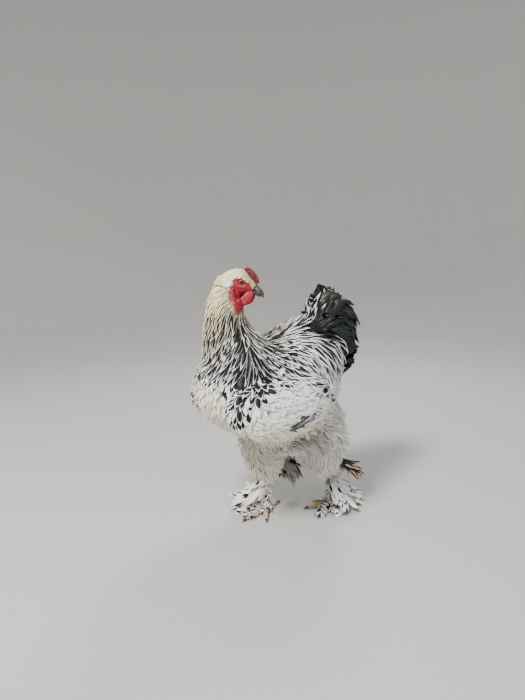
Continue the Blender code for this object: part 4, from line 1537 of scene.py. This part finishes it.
def eye_material():
    """Dark pupil, brown orange iris with darker rim, on the eyeball's own map from pole to pole."""
    material, shader, w = new_material("eye", Roughness=0.22, Specular_IOR_Level=0.30, Coat_Weight=0.12,
                                       Coat_Roughness=0.03)
    spot = w.node("SeparateXYZ", None, Vector=w.node("UVMap", {"uv_map": "UVMap"}).outputs[0]).outputs
    ring = w.minus(1.0, spot[1])
    rays = w.node("CombineXYZ", None, X=w.times(spot[0], 60.0), Y=w.times(ring, 6.0)).outputs[0]
    rays = w.noise(rays, 1.0, 3.0)
    iris = w.mix(w.between(rays, 0.3, 0.7), IRIS_DARK, IRIS_LIGHT)
    iris = w.mix(w.between(ring, 0.20, 0.27), iris, IRIS_RIM)
    white = w.mix(w.between(ring, 0.27, 0.31), iris, EYE_WHITE)
    w.set(shader, "Base Color", w.mix(w.between(ring, 0.120, 0.135), PUPIL, white))
    return material


def horn_material():
    """Horn with long growth streaks, and paler worn clouds over it."""
    material, shader, w = new_material("horn", Specular_IOR_Level=0.5)
    place = w.node("TexCoord").outputs["Object"]
    stretched = w.node("Mapping", None, Vector=place)
    stretched.inputs["Rotation"].default_value = (0.12, 0.0, -HEAD_TURN)
    stretched.inputs["Scale"].default_value = (6.0, 1.0, 3.0)
    streaks = w.noise(stretched.outputs[0], 190.0, 4.0, 0.6)
    clouds = w.noise(place, 120.0, 2.0)
    colour = w.mix(w.between(streaks, 0.35, 0.68), HORN_DARK, HORN_LIGHT)
    colour = w.mix(w.between(clouds, 0.52, 0.74, 0.0, 0.7), colour, HORN_WORN)
    w.finish(shader, colour, w.between(streaks, 0.3, 0.7, 0.30, 0.50), streaks, 0.35)
    return material


def floor_material():
    material, shader, w = new_material("pale floor", Roughness=0.9)
    place = w.node("TexCoord").outputs["Object"]
    speckle = w.noise(place, 60.0, 4.0, 0.6)
    w.set(shader, "Base Color", w.mix(speckle, FLOOR_DARK, FLOOR_LIGHT))
    return material


# Pieces other than feathers

def finish_piece(thing, material, slot, *replaced):
    thing.data.materials.clear()
    thing.data.materials.append(material)
    smooth_shade(thing.data)
    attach(thing, "root")
    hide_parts(*replaced)


def paint_trunk(points):
    """The markings of whichever part of the coat starts at each place on the trunk."""
    kinds = np.full(len(points), "trunk")
    ground, marks = paint_breast(points)
    for test, painter in ((on_cape, paint_hackle), (on_back, paint_back), (on_shoulder, paint_shoulder)):
        here = test(kinds, points)
        ground[here], marks[here] = painter(points[here])
    return ground, marks


def finish_skin(material):
    """Gives the skin the coat's own markings, and its masks for bare, scaled and folded parts; the folds'
    mask also paints shade in the creases, round the eyes and between the comb's beads, and highlight on the
    face's ridges and the beads' tops.
    """
    ground = np.tile(SMOKE * 0.5, (len(SKIN_POINTS), 1))
    painters = {
        "head": paint_head, "neck": paint_hackle, "trunk": paint_trunk, "saddle": paint_back,
        "wing": paint_wing, "tail_main": paint_tail, "tail_covert": paint_tail, "thigh": paint_fluff,
        "abdomen": paint_fluff, "shank": paint_shank,
    }
    for kind, painter in painters.items():
        here = SKIN_KINDS == kind
        plain, marks = painter(SKIN_POINTS[here])
        ground[here] = mixed(plain, BLACK, np.clip(marks[:, 0] * 2.0, 0, 1)) * 0.55
    bare = np.maximum(bare_share(SKIN_POINTS), np.isin(SKIN_KINDS, ("comb", "wattle", "earlobe")))
    scaled = np.char.startswith(SKIN_KINDS, "toe") | (SKIN_KINDS == "foot") | (SKIN_KINDS == "shank")
    # Folds' mask: below 0.5 for painted shade in the creases, above it for the paler ridges, partly painted
    # highlight.
    folds = np.clip(0.5 + fold_height(SKIN_POINTS, FACE_FOLDS) / 0.0032, 0, 1)
    # On the comb: painted shade between the beads and painted highlight on their tops.
    comb_shade_and_highlight = np.clip(0.25 + comb_height(SKIN_POINTS) / COMB_RISE, 0, 0.8)
    folds = np.where(on_comb(SKIN_POINTS) > 0.5, comb_shade_and_highlight, folds)
    # Painted shade round the eye openings.
    folds = np.minimum(folds, smooth_step(1.05, 1.5, lid_ring(SKIN_POINTS)))
    # Deeper red towards the rear of the face.
    folds -= 0.16 * smooth_step(-0.006, -0.012, in_head(SKIN_POINTS)[0])
    masks = np.stack((bare, scaled, folds, np.ones(len(bare))), 1)
    ground = np.concatenate((ground, np.ones((len(ground), 1))), 1)
    write_colours(SKIN.data, "Ground", ground)
    write_colours(SKIN.data, "Skin", masks)
    finish_piece(SKIN, material, "bare_skin", *BODY_FLESH, *HEAD_FLESH, *LEG_FLESH)


def make_eye(side, sign, material):
    """An eyeball whose pole looks out of the head and a little forward."""
    deselect()
    bpy.ops.mesh.primitive_uv_sphere_add(segments=48, ring_count=32, radius=EYE_RADIUS, calc_uvs=True)
    eye = bpy.context.active_object
    eye.name = "eyeball_" + side
    outward = unit(sign * HEAD_AXES[1] + EYE_AHEAD * HEAD_AXES[0])
    turn = Vector((0, 0, 1)).rotation_difference(Vector(outward)).to_matrix().to_4x4()
    turn.translation = Vector(on_head(EYE_FORWARD, sign * EYE_SIDE, EYE_UP))
    eye.data.transform(turn)
    finish_piece(eye, material, "eye", "eye_" + side)


def make_bill(node, material):
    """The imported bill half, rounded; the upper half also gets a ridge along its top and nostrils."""
    bill = remesh(joined_copy(node + "_horn", [node], BILL_SWELL), BILL_VOXEL, 5)
    points, normals = read_points(bill.data), read_points(bill.data, "normal")
    forward, left, up = in_head(points)
    if node == "beak_upper":
        hole = np.exp(-(((forward - 0.0385) / 0.0026) ** 2 + ((up + 0.0055) / 0.0013) ** 2))
        rim = np.exp(-(((forward - 0.0385) / 0.0042) ** 2 + ((up + 0.0040) / 0.0024) ** 2))
        height = (0.0007 * rim - 0.0022 * hole) * smooth_step(0.003, 0.0055, np.abs(left))
        height += 0.0006 * smooth_step(0.0022, 0.0, np.abs(left)) * (normals @ HEAD_AXES[2] > 0.3)
        points = points + normals * height[:, None]
    write_points(bill.data, points)
    finish_piece(bill, material, "horn", node)


def make_claw(node, material):
    claw = remesh(joined_copy(node + "_horn", [node], CLAW_SWELL), CLAW_VOXEL, 3)
    points = read_points(claw.data)
    points[:, 2] = np.maximum(points[:, 2], 0.0)
    write_points(claw.data, points)
    finish_piece(claw, material, "horn", node)


def make_coat(name, material, slot, *growers):
    """One piece of the coat from the functions that grow it."""
    coat = Coat(name)
    for grower in growers:
        grower(coat)
    coat.finish(material, slot)


def make_plumage():
    plume_group()
    cream = plume_material("cream plume", grain=0.22)
    striped = plume_material("striped plume", grain=0.30)
    white = plume_material("white plume", grain=0.20)
    fluff = plume_material("soft fluff", grain=0.35, bump=0.15, roughness=0.8, sheen=0.15)
    make_coat("coat_head", cream, "plumage_cream", grow_crown)
    make_coat("coat_hackle", striped, "plumage_striped", grow_hackle)
    make_coat("coat_cape", striped, "plumage_striped", grow_cape, grow_shoulder)
    make_coat("coat_breast", white, "plumage_white", grow_breast)
    make_coat("coat_back", striped, "plumage_striped", grow_back)
    make_coat("coat_tail", tail_material(), "plumage_black", grow_tail)
    make_coat("coat_belly", fluff, "fluff", lambda coat: grow_fluff(coat, on_abdomen, 0.0086))
    for side, sign in (("left", 1), ("right", -1)):
        make_side_plumage(side, sign, white, fluff, striped)


def on_abdomen(kinds, middles):
    return kinds == "abdomen"


def make_side_plumage(side, sign, white, fluff, striped):
    """The coat of one wing, thigh and leg, with the bundles that take the place of their solids."""
    def on_thigh(kinds, middles):
        return (kinds == "thigh") & (sign * (middles[:, 0] - 0.008) > 0)

    make_coat("coat_wing_" + side, white, "plumage_white", lambda coat: grow_wing(coat, sign))
    make_coat("coat_thigh_" + side, fluff, "fluff", lambda coat: grow_fluff(coat, on_thigh, 0.0066))
    flight = Coat("coat_flight_" + side)
    for name, count, width, painter, reach, camber, latest in (
        ("wing_tip", 34, 0.021, paint_flight, 0.6, 0.15, 0.7),
        ("wing_end", 16, 0.015, paint_flight, 0.6, 0.15, 0.5),
        ("primaries", 12, 0.0115, paint_primaries, 0.7, 0.10, 0.4),
    ):
        rows = mirrored(BUNDLES[name], sign)
        add_bundle(flight, rows, count, width, painter, reach, camber=camber, latest=latest)
    flight.finish(striped, "plumage_black", "wing_tip_" + side)
    leg = Coat("coat_leg_" + side)
    grow_shank(leg, sign)
    painter = paint_tuft_left if side == "left" else paint_tuft_right
    add_bundle(leg, BUNDLES["tuft_" + side], 90, 0.0125, painter, 0.5, outline="blade", ragged=0.12,
               splay=0.007)
    leg.finish(white, "fluff", "hock_tuft_" + side)
    boot = Coat("coat_boot_" + side)
    grow_toes(boot, side)
    add_bundle(boot, BUNDLES["boot_" + side], 150, 0.0150, paint_boot, 0.34, outline="quill",
               side_hint=BOOT_SIDES[side], camber=0.35, ragged=0.10, splay=0.008)
    boot.finish(white, "plumage_white", "boot_" + side)


# Studio

CAMERA_PLACE = (1.0566, -0.7146, 0.642)
CAMERA_HEADING = math.radians(58.0)
CAMERA_DOWN = math.radians(9.9)
CAMERA_LENS = 27.05
LIGHT_AIM = (0, 0, 0.3)


def make_camera():
    """The photo's camera: 1.3 m away, level with the bird's crown and tilted a little down."""
    camera = bpy.data.cameras.new("camera")
    camera.sensor_width = 36.0
    camera.lens = CAMERA_LENS
    thing = link("camera", camera)
    thing.location = CAMERA_PLACE
    thing.rotation_euler = (math.pi / 2 - CAMERA_DOWN, 0.0, CAMERA_HEADING)
    bpy.context.scene.camera = thing


def make_light(name, place, size, power, colour):
    lamp = bpy.data.lights.new(name, "AREA")
    lamp.shape = "DISK"
    lamp.size = size
    lamp.energy = power
    lamp.color = colour
    thing = link(name, lamp)
    thing.location = place
    thing.rotation_euler = (Vector(LIGHT_AIM) - Vector(place)).to_track_quat("-Z", "Y").to_euler()


def make_floor():
    """A round floor whose rim curves up all round, so that no edge shows."""
    profile = ((0.0, 0.0), (2.4, 0.0), (3.0, 0.06), (3.5, 0.30), (3.8, 0.80), (3.9, 3.2))
    shape = bmesh.new()
    line = [shape.verts.new((radius, 0.0, height)) for radius, height in profile]
    edges = [shape.edges.new(pair) for pair in zip(line, line[1:])]
    bmesh.ops.spin(shape, geom=line + edges, cent=(0, 0, 0), axis=(0, 0, 1), angle=2 * math.pi, steps=64)
    bmesh.ops.remove_doubles(shape, verts=shape.verts, dist=1e-4)
    bmesh.ops.recalc_face_normals(shape, faces=shape.faces)
    mesh = bpy.data.meshes.new("floor")
    shape.to_mesh(mesh)
    shape.free()
    floor = link("floor", mesh)
    smooth_shade(mesh)
    mesh.materials.append(floor_material())


def make_world():
    world = bpy.data.worlds.new("studio")
    world.use_nodes = True
    sky = world.node_tree.nodes["Background"]
    sky.inputs["Color"].default_value = (0.92, 0.95, 1.0, 1.0)
    sky.inputs["Strength"].default_value = 0.36
    bpy.context.scene.world = world


def make_studio():
    make_floor()
    make_world()
    make_light("key", (0.75, -1.9, 2.7), 0.8, 172.0, (1.0, 0.98, 0.95))
    make_light("fill", (2.2, 0.6, 1.3), 1.6, 12.0, (0.95, 0.97, 1.0))
    make_light("rim", (-1.4, 1.6, 2.2), 0.8, 45.0, (1.0, 0.98, 0.95))
    make_camera()


def main():
    finish_skin(skin_material())
    eye = eye_material()
    horn = horn_material()
    for side, sign in (("left", 1), ("right", -1)):
        make_eye(side, sign, eye)
        for toe in ("middle", "inner", "outer", "hind"):
            make_claw(f"claw_{toe}_{side}", horn)
    make_bill("beak_upper", horn)
    make_bill("beak_lower", horn)
    make_plumage()
    make_studio()
    deselect()


main()
